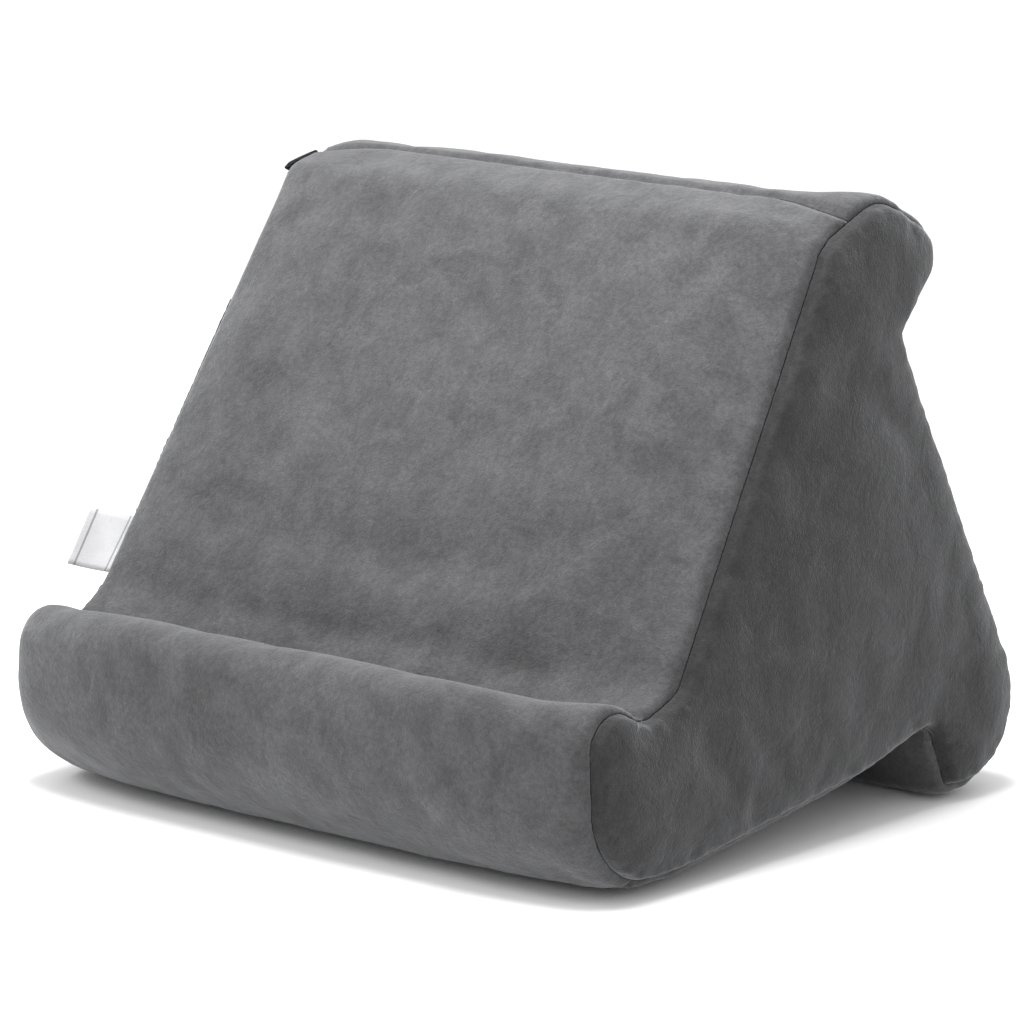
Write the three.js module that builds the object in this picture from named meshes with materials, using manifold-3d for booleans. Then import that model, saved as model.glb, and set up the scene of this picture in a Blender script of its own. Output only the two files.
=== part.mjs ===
// A plush pillow stand for a tablet: one contour-cut foam block in a thin liner bag, inside a
// removable sewn cover with a zip low on its back, a net pocket on its left side and a woven label.
// Millimetres, +Z up, the front faces -Y, and the origin is the centre of the footprint.
import * as THREE from "three";
import * as BufferGeometryUtils from "three/addons/utils/BufferGeometryUtils.js";
import Module from "manifold-3d";

const wasm = await Module();
wasm.setup();

// Layers, from the outside in.
const COVER_HALF_WIDTH = 135; // outer face of each side panel, at the base
const TAPER = 0.00035; // part of the width lost for each millimetre of height
const COVER_THICK = 1.9; // short-pile plush with its backing
const LINER_INSET = 2.3; // from the cover's outer surface to the liner's
const LINER_THICK = 0.6;
const FOAM_INSET = 3.2;
const GAP = 0.3; // between pieces that touch
const SEAM_GAP = 0.3; // between two panels sewn edge to edge

// The side outline as corners with a rounding radius each, going round from the front toe along the
// base, up the back, over the top roll and down the face.
const CORNERS = [
  { name: "toe", y: -127, z: 0, radius: 36 },
  { name: "base_bend", y: -71, z: 0, radius: 80 },
  { name: "ramp_bend", y: 33, z: 14.5, radius: 60 },
  { name: "bottom_crease", y: 72, z: 28, radius: 5 },
  { name: "foot_toe", y: 81.5, z: 0, radius: 5 },
  { name: "heel", y: 147, z: 0, radius: 30 },
  { name: "back_crease", y: 60, z: 174.5, radius: 6 },
  { name: "roll_back", y: 81.5, z: 196, radius: 11 },
  { name: "roll_top", y: 41.5, z: 228, radius: 25 },
  { name: "roll_front", y: 10, z: 217, radius: 14 },
  { name: "face_foot", y: -77, z: 67, radius: 20 },
  { name: "front_crease", y: -94, z: 50, radius: 4 },
  { name: "lip", y: -127, z: 93, radius: 11.5 },
];
const ARC_STEP = 9; // degrees of a rounded corner for each facet

// Places on the outline: part way round a corner's arc, or a distance past a corner on its edge.
const ZIP_ALONG = 78; // from the heel's sharp corner up the back
const ZIP_HALF_OPENING = 7; // between the zip's middle and each panel's edge
const DENT_HALF = 16; // the liner and the foam give way under the zip
const DENT_DEPTH = 2;
const ARC_STATIONS = {
  front_bottom_seam: { corner: "toe", part: 0.8 },
  bottom_crease_seam: { corner: "bottom_crease", part: 0.5 },
  back_crease_seam: { corner: "back_crease", part: 0.5 },
  pocket_front: { corner: "roll_front", part: 0.5 },
  front_crease_seam: { corner: "front_crease", part: 0.5 },
};
const EDGE_STATIONS = [
  { name: "dent_start", after: "heel", along: ZIP_ALONG - DENT_HALF, dent: 0 },
  { name: "dent_floor_start", after: "heel", along: ZIP_ALONG - DENT_HALF + 1, dent: DENT_DEPTH },
  { name: "zip_lower_edge", after: "heel", along: ZIP_ALONG - ZIP_HALF_OPENING, dent: DENT_DEPTH },
  { name: "zip_upper_edge", after: "heel", along: ZIP_ALONG + ZIP_HALF_OPENING, dent: DENT_DEPTH },
  { name: "dent_floor_end", after: "heel", along: ZIP_ALONG + DENT_HALF - 1, dent: DENT_DEPTH },
  { name: "dent_end", after: "heel", along: ZIP_ALONG + DENT_HALF, dent: 0 },
  { name: "pocket_back", after: "heel", along: 118, dent: 0 },
  { name: "top_front_seam", after: "roll_top", along: 21, dent: 0 },
];

// Side label, sewn into the left seam low on the face.
const LABEL_SIZE = 28;
const LABEL_STANDS_OUT = 20;
const LABEL_THICK = 0.6;
const LABEL_ALONG = 137; // from the roll_front corner down the face

// Net pocket on the left side panel.
const NET_THICK = 0.6;
const NET_INSET = 3;
const BINDING_THICK = 1;
const BINDING_WIDTH = 16;
const BINDING_INSET = 1;

// Zip, in its own frame: x along it, y down the back and z outwards from the cover's surface.
const TAPE_EDGE = 1.8; // from the zip's middle
const TAPE_WIDTH = 12.2;
const TAPE_TOP = -2.2;
const TAPE_THICK = 0.5;
const CHAIN_HALF = 118;
const CHAIN_END = 115.3; // the open end, inside the top stops
const COIL_WIDTH = 2.6;
const MESHED_HALF_GAP = 0.15;
const COIL_TOP = -0.1;
const COIL_THICK = 1.8;
const SLIDER_REAR = 101.5;
const SLIDER_NOSE = 115;
const WEDGE_REAR = 108.5;
const WEDGE_HALF = 1.4;
const PARTING_REAR = 106.5; // where the coils start to part for the wedge
const PARTING_HALF = 1.8;
const PLATE_TOP = 1.1;
const PLATE_THICK = 0.8;
const PLATE_REAR_HALF = 4.1;
const PLATE_NOSE_HALF = 5.7;
const FLANGE_THICK = 0.9;
const FLANGE_BOTTOM = -1.9;
const LOWER_PLATE_TOP = -3;
const ARCH_HALF_WIDTH = 1.2;
const ARCH_POST = 1.3;
const ARCH_TOP = 0.9;
const ARCH_REAR = 103.5;
const ARCH_LENGTH = 7;
const ARCH_HEIGHT = 2.8;
const PULL_AXIS_X = 107;
const PULL_AXIS_Z = 2.05;
const PULL_BAR = 1.2;
const PULL_LENGTH = 26;
const PULL_HALF_WIDTH = 4.5;
const PULL_NECK_HALF = 3.2;
const PULL_SLOT_HALF = 1.6;
const PULL_SLOT_LENGTH = 5.2;
const PULL_EYE_RADIUS = 1.7;
const STOP_LENGTH = 3;

const COLOURS = {
  plush: { color: 0x5b5b5d, roughness: 0.95, metalness: 0 },
  plush_side: { color: 0x4a4a4c, roughness: 0.95, metalness: 0 },
  foam: { color: 0xe9dfb4, roughness: 0.9, metalness: 0 },
  liner: { color: 0xe8e8e4, roughness: 0.85, metalness: 0 },
  net: { color: 0x161616, roughness: 0.7, metalness: 0 },
  binding: { color: 0x111112, roughness: 0.8, metalness: 0 },
  tape: { color: 0x4b4b4e, roughness: 0.85, metalness: 0 },
  coil: { color: 0x3c3c40, roughness: 0.4, metalness: 0 },
  zip_metal: { color: 0x6d6e72, roughness: 0.35, metalness: 1 },
  label: { color: 0xf2f2f0, roughness: 0.8, metalness: 0 },
};

const stand = new THREE.Group();

function material(slot) {
  return new THREE.MeshStandardMaterial(COLOURS[slot]);
}

function addPiece(parent, name, geometry, slot) {
  const mesh = new THREE.Mesh(geometry, material(slot));
  mesh.name = name;
  parent.add(mesh);
  return mesh;
}

// ---- the side outline ----

const unit = (from, to) => to.clone().sub(from).normalize();
const leftOf = (direction) => new THREE.Vector2(-direction.y, direction.x);
const cornerPoint = (corner) => new THREE.Vector2(corner.y, corner.z);
const cornerIndex = (name) => CORNERS.findIndex((corner) => corner.name === name);

// The edge that leaves each corner, moved inwards: a point on it and its direction.
function edgeLine(index, inset) {
  const from = cornerPoint(CORNERS[index]);
  const to = cornerPoint(CORNERS[(index + 1) % CORNERS.length]);
  const direction = unit(from, to);
  const point = from.clone().addScaledVector(leftOf(direction), inset);
  return { point, direction };
}

function meetingPoint(a, b) {
  const along = b.point.clone().sub(a.point).cross(b.direction) / a.direction.cross(b.direction);
  return a.point.clone().addScaledVector(a.direction, along);
}

// The rounded corner as points; the outline turns left at a lobe and right at a crease.
function arcPoints(index, inset) {
  const before = edgeLine((index + CORNERS.length - 1) % CORNERS.length, inset);
  const after = edgeLine(index, inset);
  const turn = Math.atan2(before.direction.cross(after.direction), before.direction.dot(after.direction));
  const side = Math.sign(turn);
  const radius = CORNERS[index].radius - side * inset;
  const start = meetingPoint(before, after).addScaledVector(
    before.direction,
    -radius * Math.tan(Math.abs(turn) / 2),
  );
  const centre = start.clone().addScaledVector(leftOf(before.direction), side * radius);
  const nominal = Math.ceil(THREE.MathUtils.radToDeg(Math.abs(turn)) / ARC_STEP);
  const steps = Math.max(2, nominal + (nominal % 2));
  const points = [];
  for (let i = 0; i <= steps; i++) {
    points.push(start.clone().rotateAround(centre, (turn * i) / steps));
  }
  return points;
}

// The whole outline at an inset, with the index of each named station. Stations have the same
// index at every inset, so two outlines can be joined point by point.
function outline(inset, withDent = false) {
  const points = [];
  const at = {};
  CORNERS.forEach((corner, index) => {
    const arc = arcPoints(index, inset);
    for (const [name, station] of Object.entries(ARC_STATIONS)) {
      if (station.corner === corner.name) {
        at[name] = points.length + Math.round(station.part * (arc.length - 1));
      }
    }
    points.push(...arc);
    const edge = edgeLine(index, 0);
    for (const station of EDGE_STATIONS.filter((s) => s.after === corner.name)) {
      at[station.name] = points.length;
      const depth = inset + (withDent ? station.dent : 0);
      const place = edge.point.clone().addScaledVector(edge.direction, station.along);
      points.push(place.addScaledVector(leftOf(edge.direction), depth));
    }
  });
  return { points, at };
}

// The outline's points from one station on to another.
function stretch(line, from, to) {
  const count = line.points.length;
  const first = line.at[from];
  const length = (line.at[to] - first + count) % count;
  const points = [];
  for (let i = 0; i <= length; i++) points.push(line.points[(first + i) % count].clone());
  return points;
}

// Shortens both ends of an open line of points, for the gap at a seam.
function trimEnds(points, amount) {
  const last = points.length - 1;
  points[0].addScaledVector(unit(points[0], points[1]), amount);
  points[last].addScaledVector(unit(points[last], points[last - 1]), amount);
  return points;
}

// ---- solids ----

// Where x lies on the stand at a height, since the stand is a little narrower at its top.
const narrowed = (x, height) => x * (1 - TAPER * height);

// Extrudes a shape drawn in (y, z) along X, centred on x = middle, and narrows it towards the top.
function extrudeAcross(shape, width, middle = 0) {
  const geometry = new THREE.ExtrudeGeometry(shape, { depth: width, bevelEnabled: false });
  const turn = new THREE.Matrix4().set(0, 0, 1, middle - width / 2, 1, 0, 0, 0, 0, 1, 0, 0, 0, 0, 0, 1);
  geometry.applyMatrix4(turn);
  const places = geometry.attributes.position;
  for (let i = 0; i < places.count; i++) places.setX(i, narrowed(places.getX(i), places.getZ(i)));
  return geometry;
}

// Extrudes a shape drawn in the zip's (x, y), from one height up to another.
function extrudeUp(shape, bottom, top) {
  const options = { depth: top - bottom, bevelEnabled: false, curveSegments: 8 };
  return new THREE.ExtrudeGeometry(shape, options).translate(0, 0, bottom);
}

function boxBetween(low, high) {
  const size = high.map((value, i) => value - low[i]);
  return new THREE.BoxGeometry(...size).translate(...low.map((value, i) => value + size[i] / 2));
}

function polygon(pairs) {
  return new THREE.Shape(pairs.map(([x, y]) => new THREE.Vector2(x, y)));
}

function toManifold(geometry) {
  const bare = geometry.clone();
  bare.deleteAttribute("normal");
  bare.deleteAttribute("uv");
  const merged = BufferGeometryUtils.mergeVertices(bare, 1e-4);
  return new wasm.Manifold(
    new wasm.Mesh({
      numProp: 3,
      vertProperties: new Float32Array(merged.attributes.position.array),
      triVerts: new Uint32Array(merged.index.array),
    }),
  );
}

function fromManifold(solid) {
  const mesh = solid.getMesh();
  const geometry = new THREE.BufferGeometry();
  geometry.setAttribute("position", new THREE.BufferAttribute(mesh.vertProperties, 3));
  geometry.setIndex(new THREE.BufferAttribute(mesh.triVerts, 1));
  geometry.computeVertexNormals();
  return geometry;
}

function joined(geometries) {
  return fromManifold(geometries.map(toManifold).reduce((a, b) => a.add(b)));
}

// ---- foam and liner ----

function makeFoamCore() {
  const shape = new THREE.Shape(outline(FOAM_INSET, true).points);
  const halfWidth = COVER_HALF_WIDTH - FOAM_INSET;
  addPiece(stand, "foam_core", extrudeAcross(shape, 2 * halfWidth), "foam");
}

function makeLiner() {
  const wrap = new THREE.Shape(outline(LINER_INSET, true).points);
  wrap.holes.push(new THREE.Path(outline(LINER_INSET + LINER_THICK, true).points));
  const wrapHalf = COVER_HALF_WIDTH - FOAM_INSET;
  addPiece(stand, "liner_wrap", extrudeAcross(wrap, 2 * wrapHalf), "liner");
  const end = new THREE.Shape(outline(LINER_INSET, true).points);
  const middle = COVER_HALF_WIDTH - LINER_INSET - LINER_THICK / 2;
  addPiece(stand, "liner_side_left", extrudeAcross(end, LINER_THICK, -middle), "liner");
  addPiece(stand, "liner_side_right", extrudeAcross(end, LINER_THICK, middle), "liner");
}

// ---- cover ----

function makeSidePanels() {
  const shape = new THREE.Shape(outline(0).points);
  const middle = COVER_HALF_WIDTH - COVER_THICK / 2;
  addPiece(stand, "side_panel_left", extrudeAcross(shape, COVER_THICK, -middle), "plush_side");
  addPiece(stand, "side_panel_right", extrudeAcross(shape, COVER_THICK, middle), "plush_side");
}

// One strip of the gusset between the two side panels.
function makeGussetPanel(name, from, to) {
  const outer = trimEnds(stretch(outline(0), from, to), SEAM_GAP / 2);
  const inner = trimEnds(stretch(outline(COVER_THICK), from, to), SEAM_GAP / 2);
  const shape = new THREE.Shape([...outer, ...inner.reverse()]);
  const halfWidth = COVER_HALF_WIDTH - COVER_THICK - SEAM_GAP;
  addPiece(stand, name, extrudeAcross(shape, 2 * halfWidth), "plush");
}

function makeCover() {
  makeSidePanels();
  makeGussetPanel("base_panel", "front_bottom_seam", "bottom_crease_seam");
  makeGussetPanel("foot_panel", "bottom_crease_seam", "zip_lower_edge");
  makeGussetPanel("back_panel", "zip_upper_edge", "back_crease_seam");
  makeGussetPanel("top_roll_panel", "back_crease_seam", "top_front_seam");
  makeGussetPanel("front_rest_panel", "top_front_seam", "front_crease_seam");
  makeGussetPanel("front_lip_panel", "front_crease_seam", "front_bottom_seam");
}

// ---- net pocket and label on the left side ----

function makePocket() {
  const line = outline(0);
  const front = line.points[line.at.pocket_front];
  const back = line.points[line.at.pocket_back];
  const along = unit(front, back);
  const reach = front.distanceTo(back);
  // A band along the mouth, from its lower edge up to a height above it, as a shape in (y, z).
  const band = (height) => {
    const up = leftOf(along).multiplyScalar(height);
    const low = front.clone().addScaledVector(along, -reach);
    const high = back.clone().addScaledVector(along, reach);
    return new THREE.Shape([low, high, high.clone().add(up), low.clone().add(up)]);
  };
  const netMiddle = -(COVER_HALF_WIDTH + GAP + NET_THICK / 2);
  const netSheet = extrudeAcross(new THREE.Shape(outline(NET_INSET).points), NET_THICK, netMiddle);
  const aboveMouth = extrudeAcross(band(reach * 2), NET_THICK * 3, netMiddle);
  const net = toManifold(netSheet).subtract(toManifold(aboveMouth));
  addPiece(stand, "pocket_net", fromManifold(net), "net");
  const bindingMiddle = netMiddle - NET_THICK / 2 - GAP - BINDING_THICK / 2;
  const bindingShape = new THREE.Shape(outline(BINDING_INSET).points);
  const inside = extrudeAcross(bindingShape, BINDING_THICK, bindingMiddle);
  const bandSheet = extrudeAcross(band(BINDING_WIDTH), BINDING_THICK * 3, bindingMiddle);
  const binding = toManifold(inside).intersect(toManifold(bandSheet));
  addPiece(stand, "pocket_binding", fromManifold(binding), "binding");
}

function makeLabel() {
  const face = edgeLine(cornerIndex("roll_front"), 0);
  const top = face.point.clone().addScaledVector(face.direction, LABEL_ALONG);
  const bottom = top.clone().addScaledVector(face.direction, LABEL_SIZE);
  const inwards = leftOf(face.direction).multiplyScalar(LABEL_THICK);
  const shape = new THREE.Shape([top, bottom, bottom.clone().add(inwards), top.clone().add(inwards)]);
  const middle = -(COVER_HALF_WIDTH + GAP + LABEL_STANDS_OUT / 2);
  addPiece(stand, "side_label", extrudeAcross(shape, LABEL_STANDS_OUT, middle), "label");
}

// ---- zip ----

// side is -1 for the upper half of the zip and 1 for the lower one.
function makeTape(zip, name, side) {
  const halfLength = narrowed(COVER_HALF_WIDTH - COVER_THICK - 2 * GAP, zip.position.z + TAPE_WIDTH);
  const ys = [side * TAPE_EDGE, side * (TAPE_EDGE + TAPE_WIDTH)].sort((a, b) => a - b);
  const low = [-halfLength, ys[0], TAPE_TOP - TAPE_THICK];
  addPiece(zip, name, boxBetween(low, [halfLength, ys[1], TAPE_TOP]), "tape");
}

// The coils lie in mesh along the chain and part around the slider's wedge.
function makeCoil(zip, name, side) {
  const inner = [
    [-CHAIN_HALF, side * MESHED_HALF_GAP],
    [PARTING_REAR, side * MESHED_HALF_GAP],
    [SLIDER_NOSE, side * PARTING_HALF],
    [CHAIN_END, side * PARTING_HALF],
  ];
  const outer = inner.map(([x, y]) => [x, y + side * COIL_WIDTH]).reverse();
  const shape = polygon([...inner, ...outer]);
  addPiece(zip, name, extrudeUp(shape, COIL_TOP - COIL_THICK, COIL_TOP), "coil");
}

// The slider's outline, tapering from its nose to its rear, drawn in by an amount.
function sliderPlan(drawnIn) {
  const rear = PLATE_REAR_HALF - drawnIn;
  const nose = PLATE_NOSE_HALF - drawnIn;
  return [
    [SLIDER_REAR, -rear],
    [SLIDER_NOSE - 2, -nose],
    [SLIDER_NOSE, -nose + 1],
    [SLIDER_NOSE, nose - 1],
    [SLIDER_NOSE - 2, nose],
    [SLIDER_REAR, rear],
  ];
}

function sliderFlange(side) {
  const shape = polygon([
    [SLIDER_REAR, side * PLATE_REAR_HALF],
    [SLIDER_NOSE - 2, side * PLATE_NOSE_HALF],
    [SLIDER_NOSE - 2, side * (PLATE_NOSE_HALF - FLANGE_THICK)],
    [SLIDER_REAR, side * (PLATE_REAR_HALF - FLANGE_THICK)],
  ]);
  return extrudeUp(shape, FLANGE_BOTTOM, PLATE_TOP - PLATE_THICK / 2);
}

function sliderArch() {
  const profile = polygon([
    [ARCH_REAR, PLATE_TOP - PLATE_THICK / 2],
    [ARCH_REAR + ARCH_POST, PLATE_TOP - PLATE_THICK / 2],
    [ARCH_REAR + ARCH_POST, PLATE_TOP + ARCH_HEIGHT - ARCH_TOP],
    [ARCH_REAR + ARCH_LENGTH - ARCH_POST, PLATE_TOP + ARCH_HEIGHT - ARCH_TOP],
    [ARCH_REAR + ARCH_LENGTH - ARCH_POST, PLATE_TOP - PLATE_THICK / 2],
    [ARCH_REAR + ARCH_LENGTH, PLATE_TOP - PLATE_THICK / 2],
    [ARCH_REAR + ARCH_LENGTH, PLATE_TOP + ARCH_HEIGHT - ARCH_TOP],
    [ARCH_REAR + ARCH_LENGTH - ARCH_POST, PLATE_TOP + ARCH_HEIGHT],
    [ARCH_REAR + ARCH_POST, PLATE_TOP + ARCH_HEIGHT],
    [ARCH_REAR, PLATE_TOP + ARCH_HEIGHT - ARCH_TOP],
  ]);
  const arch = extrudeUp(profile, -ARCH_HALF_WIDTH, ARCH_HALF_WIDTH);
  return arch.rotateX(Math.PI / 2);
}

function makeSlider(zip) {
  const wedge = polygon([
    [WEDGE_REAR, -0.05],
    [SLIDER_NOSE - 0.5, -WEDGE_HALF],
    [SLIDER_NOSE - 0.5, WEDGE_HALF],
    [WEDGE_REAR, 0.05],
  ]);
  const lowerBottom = LOWER_PLATE_TOP - PLATE_THICK;
  const pieces = [
    extrudeUp(polygon(sliderPlan(0)), PLATE_TOP - PLATE_THICK, PLATE_TOP),
    extrudeUp(polygon(sliderPlan(0.4)), lowerBottom, LOWER_PLATE_TOP),
    extrudeUp(wedge, lowerBottom + PLATE_THICK / 2, PLATE_TOP - PLATE_THICK / 2),
    sliderFlange(-1),
    sliderFlange(1),
    sliderArch(),
  ];
  addPiece(zip, "zip_slider", joined(pieces), "zip_metal");
}

// The pull tab: a flat tongue whose slotted end turns on a bar under the slider's arch.
function makePull(zip) {
  const barFront = PULL_AXIS_X + PULL_BAR / 2;
  const slotFront = PULL_AXIS_X - PULL_BAR / 2;
  const slotRear = slotFront - PULL_SLOT_LENGTH;
  const tip = PULL_AXIS_X - PULL_LENGTH;
  const shape = polygon([
    [barFront, -PULL_NECK_HALF],
    [barFront, PULL_NECK_HALF],
    [slotRear, PULL_NECK_HALF],
    [slotRear - 3, PULL_HALF_WIDTH],
    [tip + 2.5, PULL_HALF_WIDTH],
    [tip, PULL_HALF_WIDTH - 2.5],
    [tip, 2.5 - PULL_HALF_WIDTH],
    [tip + 2.5, -PULL_HALF_WIDTH],
    [slotRear - 3, -PULL_HALF_WIDTH],
    [slotRear, -PULL_NECK_HALF],
  ]);
  const slot = polygon([
    [slotRear, -PULL_SLOT_HALF],
    [slotFront, -PULL_SLOT_HALF],
    [slotFront, PULL_SLOT_HALF],
    [slotRear, PULL_SLOT_HALF],
  ]);
  const eye = new THREE.Path().absarc(tip + 4.5, 0, PULL_EYE_RADIUS, 0, 2 * Math.PI);
  shape.holes.push(slot, eye);
  const bottom = PULL_AXIS_Z - PULL_BAR / 2;
  addPiece(zip, "zip_pull", extrudeUp(shape, bottom, bottom + PULL_BAR), "zip_metal");
}

function makeStops(zip) {
  const bottom = TAPE_TOP + GAP;
  const start = CHAIN_END + GAP;
  const end = start + STOP_LENGTH;
  const farEdge = PARTING_HALF + COIL_WIDTH;
  const upper = boxBetween([start, -farEdge, bottom], [end, -PARTING_HALF, COIL_TOP]);
  const lower = boxBetween([start, PARTING_HALF, bottom], [end, farEdge, COIL_TOP]);
  addPiece(zip, "zip_top_stop_upper", upper, "zip_metal");
  addPiece(zip, "zip_top_stop_lower", lower, "zip_metal");
  const chainStart = -CHAIN_HALF - GAP;
  const halfHeight = MESHED_HALF_GAP + COIL_WIDTH + GAP;
  const across = boxBetween([chainStart - STOP_LENGTH, -halfHeight, bottom], [chainStart, halfHeight, 0]);
  addPiece(zip, "zip_bottom_stop", across, "zip_metal");
}

function makeZip() {
  const back = edgeLine(cornerIndex("heel"), 0);
  const place = back.point.clone().addScaledVector(back.direction, ZIP_ALONG);
  const zip = new THREE.Group();
  zip.position.set(0, place.x, place.y);
  zip.rotation.x = Math.atan2(-back.direction.y, -back.direction.x);
  stand.add(zip);
  makeTape(zip, "zip_tape_upper", -1);
  makeTape(zip, "zip_tape_lower", 1);
  makeCoil(zip, "zip_coil_upper", -1);
  makeCoil(zip, "zip_coil_lower", 1);
  makeSlider(zip);
  makePull(zip);
  makeStops(zip);
}

makeFoamCore();
makeLiner();
makeCover();
makePocket();
makeLabel();
makeZip();

// The origin is the centre of the footprint, at the surface that the stand rests on.
const box = new THREE.Box3().setFromObject(stand);
const centre = box.getCenter(new THREE.Vector3());
stand.position.set(-centre.x, -centre.y, -box.min.z);

export default stand;
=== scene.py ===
"""Looks for a plush pillow that holds a tablet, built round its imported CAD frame.

Metres, +Z up. The front, which the tablet leans on, faces -Y. A gusset strip runs all the way round
the pillow's side outline, and a side panel closes each end. The outline, its seams and the places of
the zip, the pocket and the label are read off the CAD nodes.
"""

import math

import bmesh
import bpy
import numpy as np
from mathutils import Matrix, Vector, geometry, kdtree, noise


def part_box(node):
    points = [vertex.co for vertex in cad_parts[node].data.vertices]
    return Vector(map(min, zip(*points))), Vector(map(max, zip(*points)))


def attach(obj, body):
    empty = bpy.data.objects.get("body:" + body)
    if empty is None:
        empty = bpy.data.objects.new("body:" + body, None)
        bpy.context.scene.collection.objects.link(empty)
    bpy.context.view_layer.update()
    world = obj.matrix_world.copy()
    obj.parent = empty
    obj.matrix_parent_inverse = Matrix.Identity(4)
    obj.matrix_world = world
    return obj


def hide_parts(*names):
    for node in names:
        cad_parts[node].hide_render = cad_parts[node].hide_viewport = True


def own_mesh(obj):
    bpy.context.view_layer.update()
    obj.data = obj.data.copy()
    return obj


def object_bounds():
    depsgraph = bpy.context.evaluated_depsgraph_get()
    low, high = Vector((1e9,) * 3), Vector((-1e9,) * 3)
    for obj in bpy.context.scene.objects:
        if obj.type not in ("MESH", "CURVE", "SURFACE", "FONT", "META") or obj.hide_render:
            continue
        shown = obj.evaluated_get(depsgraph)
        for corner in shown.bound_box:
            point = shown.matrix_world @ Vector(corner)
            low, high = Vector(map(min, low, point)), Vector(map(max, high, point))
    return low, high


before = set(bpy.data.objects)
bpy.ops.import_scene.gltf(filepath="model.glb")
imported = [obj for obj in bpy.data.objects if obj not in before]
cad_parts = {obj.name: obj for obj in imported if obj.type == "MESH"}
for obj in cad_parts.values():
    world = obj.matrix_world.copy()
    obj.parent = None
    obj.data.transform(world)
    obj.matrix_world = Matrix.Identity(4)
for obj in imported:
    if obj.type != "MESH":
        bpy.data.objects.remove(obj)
cad_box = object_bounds()

# Camera
AZIMUTH = 41.1
ELEVATION = 11.84
AIM = (0.01045, -0.0081, 0.1032)
DISTANCE = 2.150
LENS = 209.8
SENSOR = 36
CLIP = (0.05, 20)

# The outline's corners, going round from the front toe along the base, up the back and down the face,
# with how the seam lies against the CAD corner there, in millimetres (back, up), and its radius.
RIM = {
    "toe": (11.5, 3.8, 29.0),
    "base_bend": (0.0, 5.0, 80.0),
    "ramp_bend": (0.0, 5.5, 60.0),
    "bottom_crease": (-1.5, 2.5, 7.0),
    "foot_toe": (-1.0, 4.5, 6.0),
    "heel": (-10.3, 7.0, 31.0),
    "back_crease": (-0.8, 0.0, 8.0),
    "roll_back": (8.4, 7.0, 14.0),
    "roll_top": (9.6, -3.0, 23.0),
    "roll_front": (8.2, -5.5, 20.0),
    "face_foot": (9.0, 1.0, 14.0),
    "front_crease": (8.0, 11.5, 10.0),
    "lip": (12.8, -15.5, 14.5),
}
CORNERS = list(RIM)
# On the left the face runs almost flat to its seam.
LEFT_RIM = {
    **RIM,
    "toe": (7.0, 0.5, 38.0),
    "roll_back": (3.0, 1.0, 12.0),
    "roll_top": (2.0, -8.0, 20.0),
    "roll_front": (2.5, -2.5, 13.0),
    "face_foot": (1.0, 0.2, 19.0),
    "front_crease": (4.0, 8.0, 6.0),
    "lip": (10.0, -24.0, 12.0),
}
SETTLED = {"roll_top": (0.0, -1.2)}  # the roll's middle sags by this under its own filling
LEFT_FLARE = (0.0090, 0.0028)  # how far the left seam stands out more than the right, low and high
FLARE_HEIGHTS = (0.070, 0.200)
TOP_SEAM_RISE = 0.0090  # the top seam lies this much further up the roll than the CAD panels' ends
TOP_SEAM_DROP = 0.0085  # and curves back down by this to meet the side seams
TOP_SEAM_CURVE = 0.040  # over this distance from them
TOP_SEAM_SWAY = 0.020  # how far along the outline the cloth beside the top seam follows it
GUSSET_PANELS = [f"{part}_panel" for part in ("base", "foot", "back", "top_roll", "front_rest", "front_lip")]
ZIP_BAND = "zip_band"  # the strip between the foot and back panels, which the tapes fill
RIGHT, LEFT = 1, -1
SIDES = (("side_panel_left", 0, LEFT), ("side_panel_right", -1, RIGHT))  # with the gusset's end column

# How finely lines are followed
OUTLINE_POINTS = 8000  # round the middle outline, to place a point along it
SIZE_POINTS = 600  # round a side panel, to measure its cut size
NET_RIM_POINTS = 900  # round the left seam, to cut the net
STRIP_POINTS = 150  # along a tape or the binding
BLOCK = 2000  # points measured at once, which bounds the memory used
RIM_SEARCH = (0.01, 0.2, 0.0002)  # distances tried, to find where the binding meets the seam

# Reading the outline off the CAD mesh
WELD = 0.00001  # points nearer than this are one
CAP_NORMAL = 0.9  # a face of the side panel's outer cap points along +X by at least this
SHORTEST_EDGE = 0.009  # a shorter stretch belongs to an arc
ARC_TURN = 0.5  # degrees between two facets of an arc, at least
ON_OUTLINE = 0.0002  # a point nearer than this to the outline lies on it
END_BAND = 0.001  # points this near the side panel's lowest or highest one show its reach there
DECIMALS = 7  # places that agree to this many decimals are one
SAME_PLACE = 1e-7  # and so are points this near each other in a triangulation

# Cover
FINE = 0.0021  # spacing of the cover's points
COARSE = 0.0055  # spacing of the simulated cover's points
GRADED = (0.0, 0.0008, 0.0018, 0.0030, 0.0044)  # distances of the rows beside a seam
CLEARANCE = 0.6  # share of the spacing kept between those rows and the regular ones
CLEARANCE_INSIDE = 0.7  # the same for the points inside a side panel
CLEARANCE_RING = 0.97  # share of its distance that each point of a row keeps from the seam
GUSSET_CROWN = 0.0030  # the gusset stands out past its side seam by this
CROWN_REACH = 0.013  # within this distance of the seam
END_REACH = 0.070  # how far in from the seam the outline still differs from the middle section
LEAST_RADIUS = 0.0025  # of a corner, however far it is drawn in
SEAM_INSET = 0.0015  # the side seam lies inside the CAD side plane
SIDE_CROWN = 0.0012  # the right panel swells by this
SIDE_REACH = 0.060  # over this distance from its seam
SIDE_ROLL = 0.0060  # and its rounded border stands out by this much more
SIDE_ROLL_REACH = 0.018
CROWN_SMOOTHING = 12  # rounds of smoothing over a side panel's crown
SMOOTHING_SHARE = 0.5  # how far a round moves each value towards its neighbours' mean
LEFT_CROWN = 0.0050  # the left panel swells gently, so that it hides behind the face
LEFT_CROWN_REACH = 0.022
SEAM_DEPTH = 0.0022  # the cover sinks by this along a seam
SEAM_WIDTH = 0.0021
PUCKER = 0.0007  # height of the gathers beside a seam
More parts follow.
